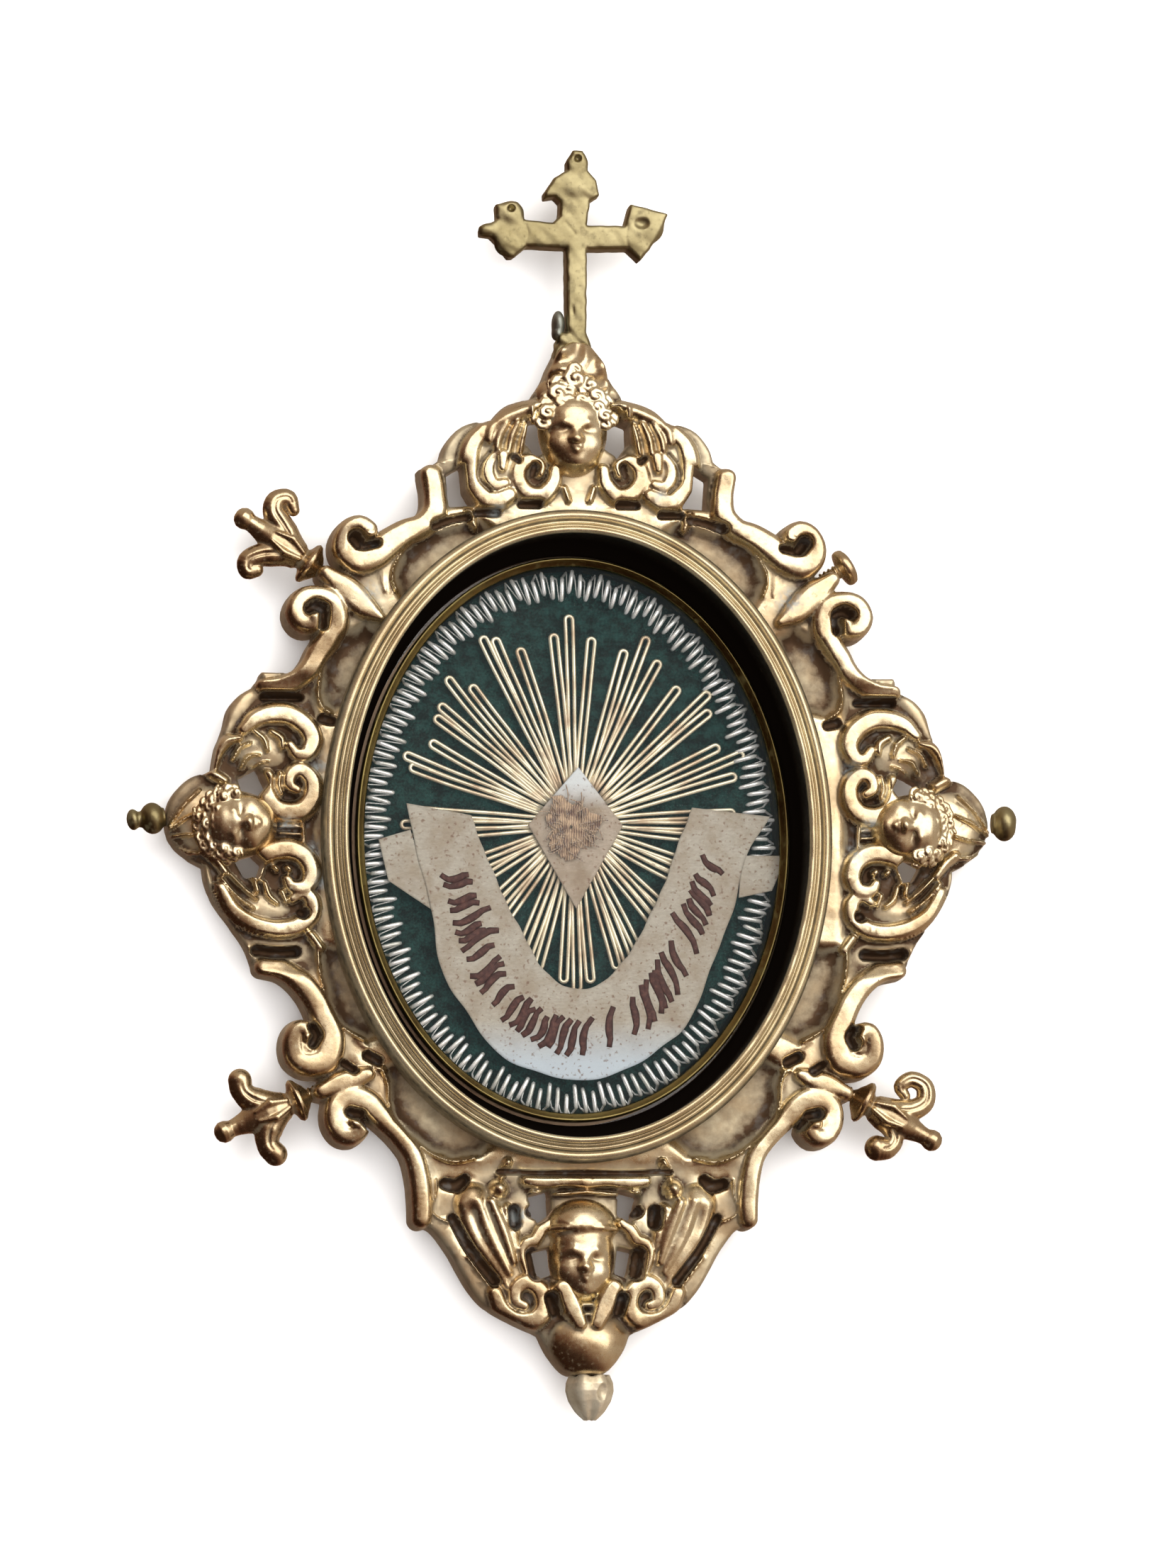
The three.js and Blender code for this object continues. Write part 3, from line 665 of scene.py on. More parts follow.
def tube(line: Array, radii: float | Array, sides: int, flat: float = 1.0, closed: bool = False) -> Skin:
    """Sweeps a round wire along a line.

    Args:
        line: Points of its middle.
        radii: Its radius, one number or one for each point.
        sides: Corners of its section.
        flat: Height of the section over its width.
        closed: Whether the line closes on itself.

    Returns:
        Vertices and faces of four corners.
    """
    line = np.asarray(line, float)
    count = len(line)
    if closed:
        along = np.roll(line, -1, axis=0) - np.roll(line, 1, axis=0)
    else:
        along = np.gradient(line, axis=0)
    along /= np.linalg.norm(along, axis=1)[:, None] + 1e-12
    side = np.cross(along, (0, 0, 1.0))
    length = np.linalg.norm(side, axis=1)
    side = np.where(length[:, None] < 1e-3, np.array([1.0, 0, 0]), side / (length[:, None] + 1e-12))
    up = np.cross(side, along)
    turn = np.linspace(0, 2 * math.pi, sides, endpoint=False)
    reach = np.broadcast_to(np.asarray(radii, float), (count,))[:, None, None]
    turn = turn[None, :, None]
    ring = side[:, None, :] * np.cos(turn) + flat * up[:, None, :] * np.sin(turn)
    points = (line[:, None, :] + reach * ring).reshape(-1, 3)
    if not closed:
        points = np.vstack([points, line[:1], line[-1:]])
    faces = strip_faces(count, sides, closed)
    if not closed:
        ends = end_faces(sides, count * sides, 0), end_faces(sides, count * sides + 1, (count - 1) * sides)
        faces = np.vstack([faces, ends[0], ends[1][:, [0, 3, 2, 1]]])
    return points, faces


def strip_faces(rings: int, sides: int, closed: bool) -> Array:
    """Joins rings of vertices by faces.

    Args:
        rings: How many rings there are.
        sides: Vertices in each.
        closed: Whether the last ring joins the first.

    Returns:
        Faces of four corners.
    """
    near = np.arange(rings * sides).reshape(rings, sides)
    far = np.roll(near, -1, axis=0)
    faces = np.stack([near, far, np.roll(far, -1, axis=1), np.roll(near, -1, axis=1)], axis=-1)
    return faces[: rings if closed else rings - 1].reshape(-1, 4)


def end_faces(sides: int, tip: int, first: int) -> Array:
    """Closes a ring of vertices towards a tip.

    Args:
        sides: Vertices in the ring, an even number.
        tip: Number of the tip.
        first: Number of the ring's first vertex.

    Returns:
        Faces of four corners.
    """
    i = np.arange(0, sides, 2)
    return np.column_stack([np.full(len(i), tip), first + i, first + i + 1, first + (i + 2) % sides])


def oval(a: float, b: float, height: float, steps: int) -> Array:
    """Returns the points of a level oval with half axes a and b."""
    turn = np.linspace(0, 2 * math.pi, steps, endpoint=False)
    return np.column_stack([a * np.cos(turn), b * np.sin(turn), np.full(steps, height)])


def stacked(rings: Array, start: Spot, end: Spot) -> Skin:
    """Makes a closed solid from rings of places that follow each other.

    Args:
        rings: The rings, each a row of places.
        start: Middle of the first ring.
        end: Middle of the last ring.

    Returns:
        Vertices in millimetres and faces of four corners, moved onto the oval's middle.
    """
    count, steps = rings.shape[:2]
    points = np.vstack([rings.reshape(-1, 3), [start, end]])
    points[:, :2] += OVAL_MIDDLE
    first = end_faces(steps, count * steps, 0)[:, ::-1]
    last = end_faces(steps, count * steps + 1, (count - 1) * steps)
    return points, np.vstack([strip_faces(count, steps, False)[:, ::-1], first, last])


def gathered(parts: list[Skin]) -> Skin:
    """Joins several meshes of four-cornered faces.

    Args:
        parts: The meshes.

    Returns:
        Vertices and faces of the whole.
    """
    points, faces, start = [], [], 0
    for part_points, part_faces in parts:
        points.append(part_points)
        faces.append(part_faces + start)
        start += len(part_points)
    return np.vstack(points), np.vstack(faces)


def oval_rings(a: float, b: float, profile: Array, steps: int) -> Skin:
    """Sweeps a closed profile round the oval.

    Args:
        a: Half axis of the oval along X.
        b: Half axis along Y.
        profile: Rows of outward offset along X, height, and outward offset along Y.
        steps: Steps round the oval.

    Returns:
        Vertices and faces of four corners.
    """
    turn = np.linspace(0, 2 * math.pi, steps, endpoint=False)[:, None]
    x = (a + profile[:, 0]) * np.cos(turn)
    y = (b + profile[:, 2]) * np.sin(turn)
    z = np.broadcast_to(profile[:, 1], x.shape)
    points = np.stack([x, y, z], axis=-1).reshape(-1, 3) + (*OVAL_MIDDLE, 0)
    return points, strip_faces(steps, len(profile), closed=True)


class Bench:
    """Lays out the nodes of one finish."""

    def __init__(self, name: str) -> None:
        """Starts a material whose coordinates are millimetres on the object.

        Args:
            name: Its name.
        """
        self.material = bpy.data.materials.new(name)
        self.material.use_nodes = True
        self.tree = self.material.node_tree
        self.shader = self.tree.nodes["Principled BSDF"]
        places = self.tree.nodes.new("ShaderNodeTexCoord")
        scale = self.tree.nodes.new("ShaderNodeMapping")
        scale.inputs["Scale"].default_value = (1 / MM, 1 / MM, 1 / MM)
        self.tree.links.new(places.outputs["Object"], scale.inputs["Vector"])
        self.places = scale.outputs["Vector"]

    def set(self, **values: object) -> None:
        """Sets plain values on the shader's own sockets, with spaces for underscores."""
        for name, value in values.items():
            self.shader.inputs[name.replace("_", " ")].default_value = value

    def lead(self, source: Socket, name: str) -> None:
        """Leads a socket into one of the shader's inputs."""
        self.tree.links.new(source, self.shader.inputs[name])

    def put(self, kind: str, inputs: dict[object, object], output: object = 0,
            **settings: object) -> Socket:
        """Adds a node.

        Args:
            kind: Its type, without the common prefix.
            inputs: What goes into each input, a socket or a value.
            output: Which output is wanted.
            settings: The node's own settings.

        Returns:
            The output.
        """
        node = self.tree.nodes.new("ShaderNode" + kind)
        for name, value in settings.items():
            setattr(node, name, value)
        for name, value in inputs.items():
            if isinstance(value, Socket):
                self.tree.links.new(value, node.inputs[name])
            else:
                node.inputs[name].default_value = value
        return node.outputs[output]

    def grain(self, size: float, detail: float = 3.0, rough: float = 0.55,
              stretch: Spot | None = None) -> Socket:
        """Adds a noise.

        Args:
            size: Size of its spots, in millimetres.
            detail: How many finer layers it has.
            rough: How strong those are.
            stretch: How much finer it is along each axis.

        Returns:
            The noise, of about 0 to 1.
        """
        places = self.places
        if stretch:
            places = self.put("Mapping", {"Vector": places, "Scale": stretch})
        inputs = {"Vector": places, "Scale": 1 / size, "Detail": detail, "Roughness": rough}
        return self.put("TexNoise", inputs)

    def fade(self, value: Socket, low: float, high: float,
             to: tuple[float, float] = (0.0, 1.0)) -> Socket:
        """Returns a value stretched from one range to another, and held inside it."""
        inputs = {"Value": value, "From Min": low, "From Max": high, "To Min": to[0], "To Max": to[1]}
        return self.put("MapRange", inputs)

    def mix(self, share: Socket, first: object, second: object) -> Socket:
        """Returns a blend of two colours."""
        colours = [c if isinstance(c, Socket) else (*c, 1.0) for c in (first, second)]
        return self.put("Mix", {0: share, 6: colours[0], 7: colours[1]}, 2, data_type="RGBA")

    def sum(self, kind: str, first: object, second: object) -> Socket:
        """Returns a sum, product or other operation of two values."""
        return self.put("Math", {0: first, 1: second}, operation=kind)

    def read(self, name: str) -> Socket:
        """Returns the number painted on each vertex under a name."""
        return self.put("Attribute", {}, "Fac", attribute_name=name)

    def bump(self, height: Socket, depth: float) -> None:
        """Gives the surface a fine relief of about a depth in millimetres."""
        normal = self.put("Bump", {"Height": height, "Distance": depth * MM, "Strength": 1.0})
        self.lead(normal, "Normal")


@dataclass(frozen=True)
class CastMetal:
    """Worn cast metal: bright where rubbed, dull and dark in its hollows with grime and painted shade.

    Attributes:
        name: Name of the finish.
        bright: Colour of the rubbed metal.
        deep: Colour of the metal's darker clouds.
        dirt_and_shade: Colour of the grime and of the painted shade in the hollows.
        polish: Roughness of the rubbed metal.
        pits: Depth of its fine unevenness.
        hollow: Name of the painted depth of the hollows, if it has one.
        residue: Name of the painted pale residue, if it has one.
        shine: How metallic the rubbed metal is.
    """

    name: str
    bright: Colour
    deep: Colour
    dirt_and_shade: Colour
    polish: float
    pits: float
    hollow: str = ""
    residue: str = ""
    shine: float = 1.0

    def make(self) -> Finish:
        """Makes the material.

        Returns:
            The material.
        """
        bench = Bench(self.name)
        clouds = bench.fade(bench.grain(5.0, 5.0, 0.6), 0.40, 0.62)
        fine = bench.grain(0.35, 3.0, 0.6)
        specks = bench.fade(fine, 0.60, 0.74)
        colour = bench.mix(clouds, self.bright, self.deep)
        # The painted depth of the hollows darkens the metal: partly grime, partly painted shade in the
        # recesses.
        if self.hollow:
            depth = bench.read(self.hollow)
            ragged = bench.sum("ADD", depth, bench.fade(bench.grain(0.8, 4.0), 0.3, 0.7, (-0.08, 0.08)))
            dirt_and_shade = bench.fade(ragged, 0.02, 0.75)
        else:
            dirt_and_shade = bench.fade(bench.grain(1.4, 5.0), 0.56, 0.8, (0.0, 0.7))
        dirt_and_shade = bench.sum("MAXIMUM", dirt_and_shade, bench.sum("MULTIPLY", specks, 0.35))
        colour = bench.mix(dirt_and_shade, colour, self.dirt_and_shade)
        dull = dirt_and_shade
        if self.residue:
            patches = bench.fade(bench.grain(1.6, 2.0), 0.5, 0.62)
            deep = bench.sum("MULTIPLY", bench.fade(depth, 0.5, 1.0), patches)
            spots = bench.sum("MAXIMUM", bench.read(self.residue), bench.sum("MULTIPLY", deep, 0.22))
            chalk = bench.sum("MULTIPLY", spots, bench.fade(bench.grain(0.7, 3.0), 0.36, 0.6))
            colour = bench.mix(chalk, colour, (0.34, 0.37, 0.37))
            dull = bench.sum("MAXIMUM", dirt_and_shade, chalk)
        bench.lead(colour, "Base Color")
        bench.lead(bench.fade(dull, 0.0, 1.0, (self.shine, 0.6 * self.shine)), "Metallic")
        wear = bench.sum("ADD", bench.fade(fine, 0.3, 0.7, (-0.03, 0.06)), self.polish)
        bench.lead(bench.sum("ADD", wear, bench.fade(dull, 0.0, 1.0, (0.0, 0.22))), "Roughness")
        bench.set(Specular_IOR_Level=0.2)
        swell = bench.grain(0.9, 4.0)
        bench.bump(bench.sum("ADD", swell, bench.sum("MULTIPLY", fine, 0.35)), self.pits)
        return bench.material


GILT_BRONZE = CastMetal("gilt bronze", (0.92, 0.81, 0.57), (0.72, 0.56, 0.35), (0.07, 0.040, 0.022),
                        0.27, 0.014, hollow="hollow", residue="residue")
GILT_TURNED = CastMetal("gilt bronze of the screwed pieces", (0.84, 0.70, 0.46), (0.56, 0.41, 0.25),
                        (0.045, 0.026, 0.017), 0.25, 0.014, hollow="hollow")
# The moulding's near-black hollow colour is painted shade on its inner wall and in its grooves.
BEZEL_BRONZE = CastMetal("gilt bronze of the oval moulding", (0.76, 0.65, 0.43), (0.62, 0.50, 0.31),
                         (0.005, 0.003, 0.002), 0.25, 0.006, hollow="hollow", shine=0.9)
OLIVE_BRASS = CastMetal("olive brass", (0.48, 0.42, 0.24), (0.31, 0.26, 0.135), (0.10, 0.075, 0.04),
                        0.40, 0.014)
CAPSULE_BRASS = CastMetal("brass of the capsule", (0.32, 0.26, 0.10), (0.20, 0.15, 0.06),
                          (0.03, 0.022, 0.01), 0.30, 0.010)
PALE_METAL = CastMetal("pale metal", (0.80, 0.73, 0.57), (0.58, 0.49, 0.34), (0.14, 0.10, 0.06),
                       0.36, 0.05, shine=0.75)
SOLDER = CastMetal("solder", (0.50, 0.54, 0.50), (0.38, 0.42, 0.38), (0.2, 0.2, 0.17), 0.5, 0.03)


@dataclass(frozen=True)
class Wire:
    """Drawn wire, nearly clean.

    Attributes:
        name: Name of the finish.
        bright: Colour of the wire.
        dull: Colour of its tarnish.
        polish: Its roughness.
        spots: Size of the tarnished stretches.
    """

    name: str
    bright: Colour
    dull: Colour
    polish: float
    spots: float

    def make(self) -> Finish:
        """Makes the material.

        Returns:
            The material.
        """
        bench = Bench(self.name)
        tarnish = bench.fade(bench.grain(self.spots, 3.0), 0.42, 0.68)
        bench.lead(bench.mix(tarnish, self.bright, self.dull), "Base Color")
        bench.lead(bench.fade(tarnish, 0.0, 1.0, (self.polish, self.polish + 0.2)), "Roughness")
        bench.set(Metallic=0.7)
        bench.bump(bench.grain(0.12, 2.0), 0.003)
        return bench.material


SILVER_WIRE = Wire("silver wire", (0.97, 0.98, 0.97), (0.56, 0.57, 0.52), 0.18, 2.0)
GOLD_WIRE = Wire("gold wire", (0.88, 0.81, 0.61), (0.52, 0.40, 0.27), 0.2, 3.0)


@dataclass(frozen=True)
class Velvet:
    """Dark green velvet with a nap that catches light at a slant.

    Attributes:
        name: Name of the finish.
        ground: Colour of its ground.
        nap: Colour of its nap.
    """

    name: str = "velvet"
    ground: Colour = (0.001, 0.004, 0.0035)
    nap: Colour = (0.007, 0.029, 0.025)

    def make(self) -> Finish:
        """Makes the material.

        Returns:
            The material.
        """
        bench = Bench(self.name)
        tufts = bench.grain(0.22, 2.0, 0.5)
        patches = bench.fade(bench.grain(1.1, 3.0), 0.35, 0.65)
        share = bench.fade(bench.sum("ADD", tufts, bench.sum("MULTIPLY", patches, 0.4)), 0.5, 1.0)
        bench.lead(bench.mix(share, self.ground, self.nap), "Base Color")
        bench.set(Roughness=0.95, Sheen_Weight=0.06, Sheen_Roughness=0.4, Sheen_Tint=(0.2, 0.5, 0.45, 1.0))
        bench.bump(tufts, 0.12)
        return bench.material


@dataclass(frozen=True)
class Paper:
    """Old parchment: grey-beige, with fibres, brown specks and a cold bloom low down.

    Attributes:
        name: Name of the finish.
        ground: Its colour.
        stain: Colour of its browner clouds.
        bloom: Colour of the pale bloom.
        bloom_from: Where along Y the bloom starts and is full, in millimetres.
    """

    name: str
    ground: Colour
    stain: Colour
    bloom: Colour
    bloom_from: tuple[float, float]

    def make(self) -> Finish:
        """Makes the material.

        Returns:
            The material.
        """
        bench = Bench(self.name)
        clouds = bench.fade(bench.grain(2.2, 4.0), 0.40, 0.66)
        fibres = bench.grain(0.5, 4.0, 0.7, (1.0, 2.6, 1.0))
        colour = bench.mix(clouds, self.ground, self.stain)
        colour = bench.mix(bench.fade(fibres, 0.35, 0.75, (0.0, 0.5)), colour, (0.13, 0.10, 0.075))
        height = bench.put("SeparateXYZ", {0: bench.places}, 1)
        bloom = bench.fade(height, self.bloom_from[0], self.bloom_from[1], (0.0, 0.8))
        colour = bench.mix(bloom, colour, self.bloom)
        specks = bench.fade(bench.grain(0.35, 2.0, 0.5), 0.60, 0.70, (0.0, 0.7))
        colour = bench.mix(specks, colour, (0.10, 0.05, 0.03))
        bench.lead(colour, "Base Color")
        bench.set(Roughness=0.85)
        bench.bump(fibres, 0.03)
        return bench.material


BANNER_PAPER = Paper("parchment", (0.27, 0.25, 0.205), (0.21, 0.175, 0.13), (0.30, 0.35, 0.39),
                     (-17.5, -21.5))
LOZENGE_PAPER = Paper("parchment of the lozenge", (0.27, 0.225, 0.175), (0.19, 0.145, 0.10),
                      (0.42, 0.45, 0.46), (2.5, 5.0))


@dataclass(frozen=True)
class Ink:
    """Brown ink, slightly raised and uneven.

    Attributes:
        name: Name of the finish.
        colour: Colour of full ink.
        worn: Colour of worn ink.
    """

    name: str = "ink"
    colour: Colour = (0.030, 0.008, 0.006)
    worn: Colour = (0.075, 0.028, 0.02)

    def make(self) -> Finish:
        """Makes the material.

        Returns:
            The material.
        """
        bench = Bench(self.name)
        wear = bench.fade(bench.grain(0.5, 3.0), 0.45, 0.75)
        bench.lead(bench.mix(wear, self.colour, self.worn), "Base Color")
        bench.set(Roughness=0.7)
        bench.bump(bench.grain(0.2, 2.0), 0.02)
        return bench.material


@dataclass(frozen=True)
class OldCloth:
    """Brown, frayed cloth of the relic.

    Attributes:
        name: Name of the finish.
        light: Colour of its light threads.
        dark: Colour of its dark ones.
    """

    name: str = "relic cloth"
    light: Colour = (0.34, 0.24, 0.15)
    dark: Colour = (0.07, 0.035, 0.025)

    def make(self) -> Finish:
        """Makes the material.

        Returns:
            The material.
        """
        bench = Bench(self.name)
        inputs = {"Vector": bench.places, "Scale": 1.4, "Distortion": 5.0, "Detail": 2.0}
        weave = bench.put("TexWave", inputs)
        clouds = bench.grain(0.8, 4.0)
        share = bench.fade(bench.sum("ADD", clouds, bench.sum("MULTIPLY", weave, 0.25)), 0.42, 0.80)
        bench.lead(bench.mix(share, self.dark, self.light), "Base Color")
        bench.set(Roughness=0.95, Sheen_Weight=0.3, Sheen_Roughness=0.6)
        bench.bump(bench.sum("ADD", clouds, weave), 0.05)
        return bench.material


@dataclass(frozen=True)
class ClearGlass:
    """Old clear glass, seen through by plain values, with a faint cold haze painted in as its reflection.

    Attributes:
        name: Name of the finish.
        reflection_haze: Colour of the haze, a painted reflection.
        cover: How much it covers.
    """

    name: str = "clear glass"
    reflection_haze: Colour = (0.20, 0.26, 0.28)
    cover: float = 0.018

    def make(self) -> Finish:
        """Makes the material.

        Returns:
            The material.
        """
        bench = Bench(self.name)
        # A faint pale film over the glass: painted reflection haze.
        bench.lead(bench.mix(bench.fade(bench.grain(9.0, 3.0), 0.35, 0.7), self.reflection_haze, (0.30, 0.36, 0.37)),
                   "Base Color")
        bench.lead(bench.fade(bench.grain(5.0, 3.0), 0.3, 0.7, (0.03, 0.10)), "Roughness")
        bench.set(Alpha=self.cover, IOR=1.5)
        bench.bump(bench.grain(6.0, 2.0), 0.01)
        return bench.material


@dataclass(frozen=True)
class PaleFloor:
    """The plain pale floor.

    Attributes:
        name: Name of the finish.
    """

    name: str = "pale floor"

    def make(self) -> Finish:
        """Makes the material.

        Returns:
            The material.
        """
        bench = Bench(self.name)
        grain = bench.fade(bench.grain(40.0, 2.0), 0.3, 0.7)
        bench.lead(bench.mix(grain, (0.93, 0.93, 0.93), (0.95, 0.95, 0.95)), "Base Color")
        bench.set(Roughness=0.9)
        return bench.material


# Left half of the frame's outline, from the top down. Each run is one smooth stretch, and runs meet at
# corners.
LEFT_OUTLINE: tuple[Path, ...] = (
    ((-2.4, 43.8), (-2.8, 43.3), (-3.5, 42.3), (-4.4, 41.1)),
    ((-4.4, 41.1), (-5.7, 40.8), (-7.1, 40.2), (-8.3, 38.8)),
    ((-8.3, 38.8), (-9.9, 38.7), (-11.4, 38.0), (-12.6, 36.5), (-13.0, 35.2)),
    ((-13.0, 35.2), (-13.9, 34.5), (-15.1, 34.1)),
    ((-15.1, 34.1), (-14.7, 32.7), (-14.5, 31.2), (-15.2, 29.8), (-16.8, 28.5), (-18.1, 27.7)),
    ((-18.1, 27.7), (-20.8, 25.3), (-23.3, 23.5)),
    ((-23.3, 23.5), (-24.3, 20.7), (-24.7, 18.3)),
    ((-24.7, 18.3), (-24.9, 16.9), (-25.4, 15.5), (-26.6, 14.8), (-30.0, 14.8)),
    ((-30.0, 14.8), (-30.5, 13.6), (-32.0, 12.7), (-33.1, 11.4), (-33.6, 9.5), (-34.3, 7.7), (-34.7, 5.5)),
    ((-34.7, 5.5), (-36.7, 4.9), (-38.3, 3.3), (-38.9, 1.8), (-39.0, 0.4), (-38.5, -1.2), (-37.1, -2.6),
     (-35.5, -3.5)),
    ((-35.5, -3.5), (-35.3, -4.9), (-34.5, -6.9), (-33.2, -8.7), (-31.7, -10.8), (-31.0, -12.4),
     (-30.6, -13.3)),
    ((-30.6, -13.3), (-28.0, -13.4), (-26.8, -14.0), (-25.8, -15.3), (-25.2, -17.0)),
    ((-25.2, -17.0), (-24.7, -20.9), (-24.5, -24.3)),
    ((-24.5, -24.3), (-21.8, -26.4), (-19.3, -26.0)),
    ((-19.3, -26.0), (-17.9, -27.3), (-16.6, -28.8), (-16.0, -31.0), (-15.8, -33.1), (-16.1, -36.5)),
    ((-16.1, -36.5), (-14.4, -37.3), (-12.8, -39.4), (-11.8, -41.2), (-10.7, -43.0), (-9.2, -44.6),
     (-6.7, -46.0), (-4.3, -47.1)),
    ((-4.3, -47.1), (-3.4, -48.9), (-1.8, -50.7), (0.0, -50.8)),
)

# Pierced openings of the left half
LEFT_HOLES: tuple[Path, ...] = (
    ((-12.4, 33.6), (-11.0, 34.4), (-10.8, 32.1), (-10.0, 30.8), (-12.2, 30.6)),
    ((-4.8, 38.5), (-3.0, 39.1), (-2.7, 36.3), (-3.9, 35.5), (-4.8, 36.7)),
    ((-32.1, 4.8), (-30.4, 5.7), (-29.6, 4.1), (-30.5, 3.0), (-31.7, 3.3)),
    ((-32.4, -3.0), (-31.0, -2.3), (-30.0, -3.2), (-30.5, -4.6), (-31.7, -4.3)),
    ((-5.1, -34.2), (-3.3, -33.7), (-3.2, -35.8), (-4.3, -36.5)),
    ((-4.5, -39.3), (-3.2, -39.0), (-2.9, -41.3), (-4.0, -41.7)),
)

# Sunken panels beside the oval, on the left half
LEFT_PANELS: tuple[Path, ...] = (
    ((-17.2, 22.1), (-17.7, 23.7), (-17.4, 24.9), (-16.6, 26.3), (-15.2, 27.5), (-13.8, 28.5),
     (-11.9, 29.1), (-9.7, 29.8), (-6.5, 27.2), (-11.9, 23.2), (-15.6, 19.8)),
    ((-22.9, 17.9), (-23.9, 16.1), (-24.5, 14.5), (-24.7, 12.8), (-24.3, 11.6), (-23.3, 10.8),
     (-19.9, 11.8), (-18.6, 18.5), (-20.3, 19.5)),
    ((-24.8, -10.7), (-24.7, -13.3), (-24.1, -15.1), (-23.6, -16.9), (-22.7, -18.4), (-21.3, -19.3),
     (-20.3, -19.8), (-17.2, -18.4), (-19.3, -15.0), (-21.3, -10.7)),
    ((-19.0, -22.1), (-18.5, -23.6), (-18.4, -25.5), (-17.8, -27.1), (-16.3, -28.6), (-14.4, -30.2),
     (-12.2, -30.9), (-9.7, -30.5), (-6.5, -27.7), (-11.9, -24.4), (-16.2, -20.4)),
)

FLAT, RIDGE = Section.FLAT, Section.RIDGE

# Straps, scrolls and rims of the upper left corner
UPPER_CORNER = (
    Stroke(((-8.9, 38.4), (-10.6, 38.0), (-12.1, 37.0), (-12.9, 35.2)), (0.7, 0.9, 0.85, 0.5), 6.9),
    Stroke(((-15.2, 33.9), (-14.0, 34.4), (-12.6, 34.8), (-11.7, 34.9)), (0.5, 0.4), (7.5, 7.0), RIDGE),
    Stroke(((-14.0, 33.5), (-13.7, 31.7), (-13.8, 29.9), (-14.9, 28.6), (-16.5, 28.0), (-18.1, 27.0),
           (-19.6, 25.8), (-21.0, 25.2), (-22.2, 25.8), (-22.5, 27.0), (-21.9, 28.2), (-20.9, 28.6),
           (-20.0, 28.1), (-20.0, 27.6)),
           (1.0, 1.05, 1.15, 1.2, 1.25, 1.35, 1.4, 1.3, 1.1, 1.0, 0.95, 0.95, 0.9, 0.8),
           (6.9, 7.0, 7.3, 7.9), FLAT, deep=True),
    Stroke(((-18.6, 25.4), (-18.7, 23.8), (-18.4, 22.4)), (0.95, 0.8, 0.4), 7.4),
    Stroke(((-14.0, 28.2), (-15.4, 27.3), (-16.8, 26.1), (-17.6, 24.8), (-17.8, 23.6), (-17.4, 22.4)), 0.36,
           7.9, RIDGE),
    Stroke(((-30.0, 13.4), (-28.2, 13.4), (-26.5, 14.2), (-25.4, 15.4), (-24.7, 16.6), (-23.7, 18.0),
           (-23.2, 19.7), (-23.7, 21.3), (-25.0, 21.8), (-26.3, 21.5), (-26.9, 20.3), (-26.4, 19.3),
           (-25.5, 19.1), (-25.1, 19.7)),
           (0.6, 0.85, 0.95, 1.0, 1.1, 1.2, 1.25, 1.2, 1.1, 1.05, 1.0, 0.95, 0.9, 0.75),
           (6.9, 7.0, 7.3, 7.9), FLAT, deep=True),
    Stroke(((-23.2, 17.3), (-24.1, 16.0), (-24.6, 14.3), (-24.8, 12.6), (-24.4, 11.4), (-23.5, 10.8)), 0.4,
           7.9, RIDGE),
    Stroke(((-24.0, 24.0), (-22.1, 22.4), (-20.5, 20.9), (-18.9, 19.8)), (0.8, 1.3, 1.1, 0.4), 7.0, FLAT,
           deep=True),
    Stroke(((-23.6, 23.8), (-21.5, 22.2), (-19.2, 20.2)), 0.25, 7.5, RIDGE),
    Stroke(((-23.5, 22.9), (-22.1, 21.3), (-21.1, 19.9)), 0.22, 7.3, RIDGE),
    Stroke(((-19.3, 20.5), (-18.8, 19.8)), 0.4, 7.3),
    Stroke(((-21.3, 26.6), (-20.8, 27.2)), 1.3, 7.2, FLAT, deep=True),
    Stroke(((-25.5, 20.1), (-25.0, 20.5)), 1.2, 7.2, FLAT, deep=True),
)

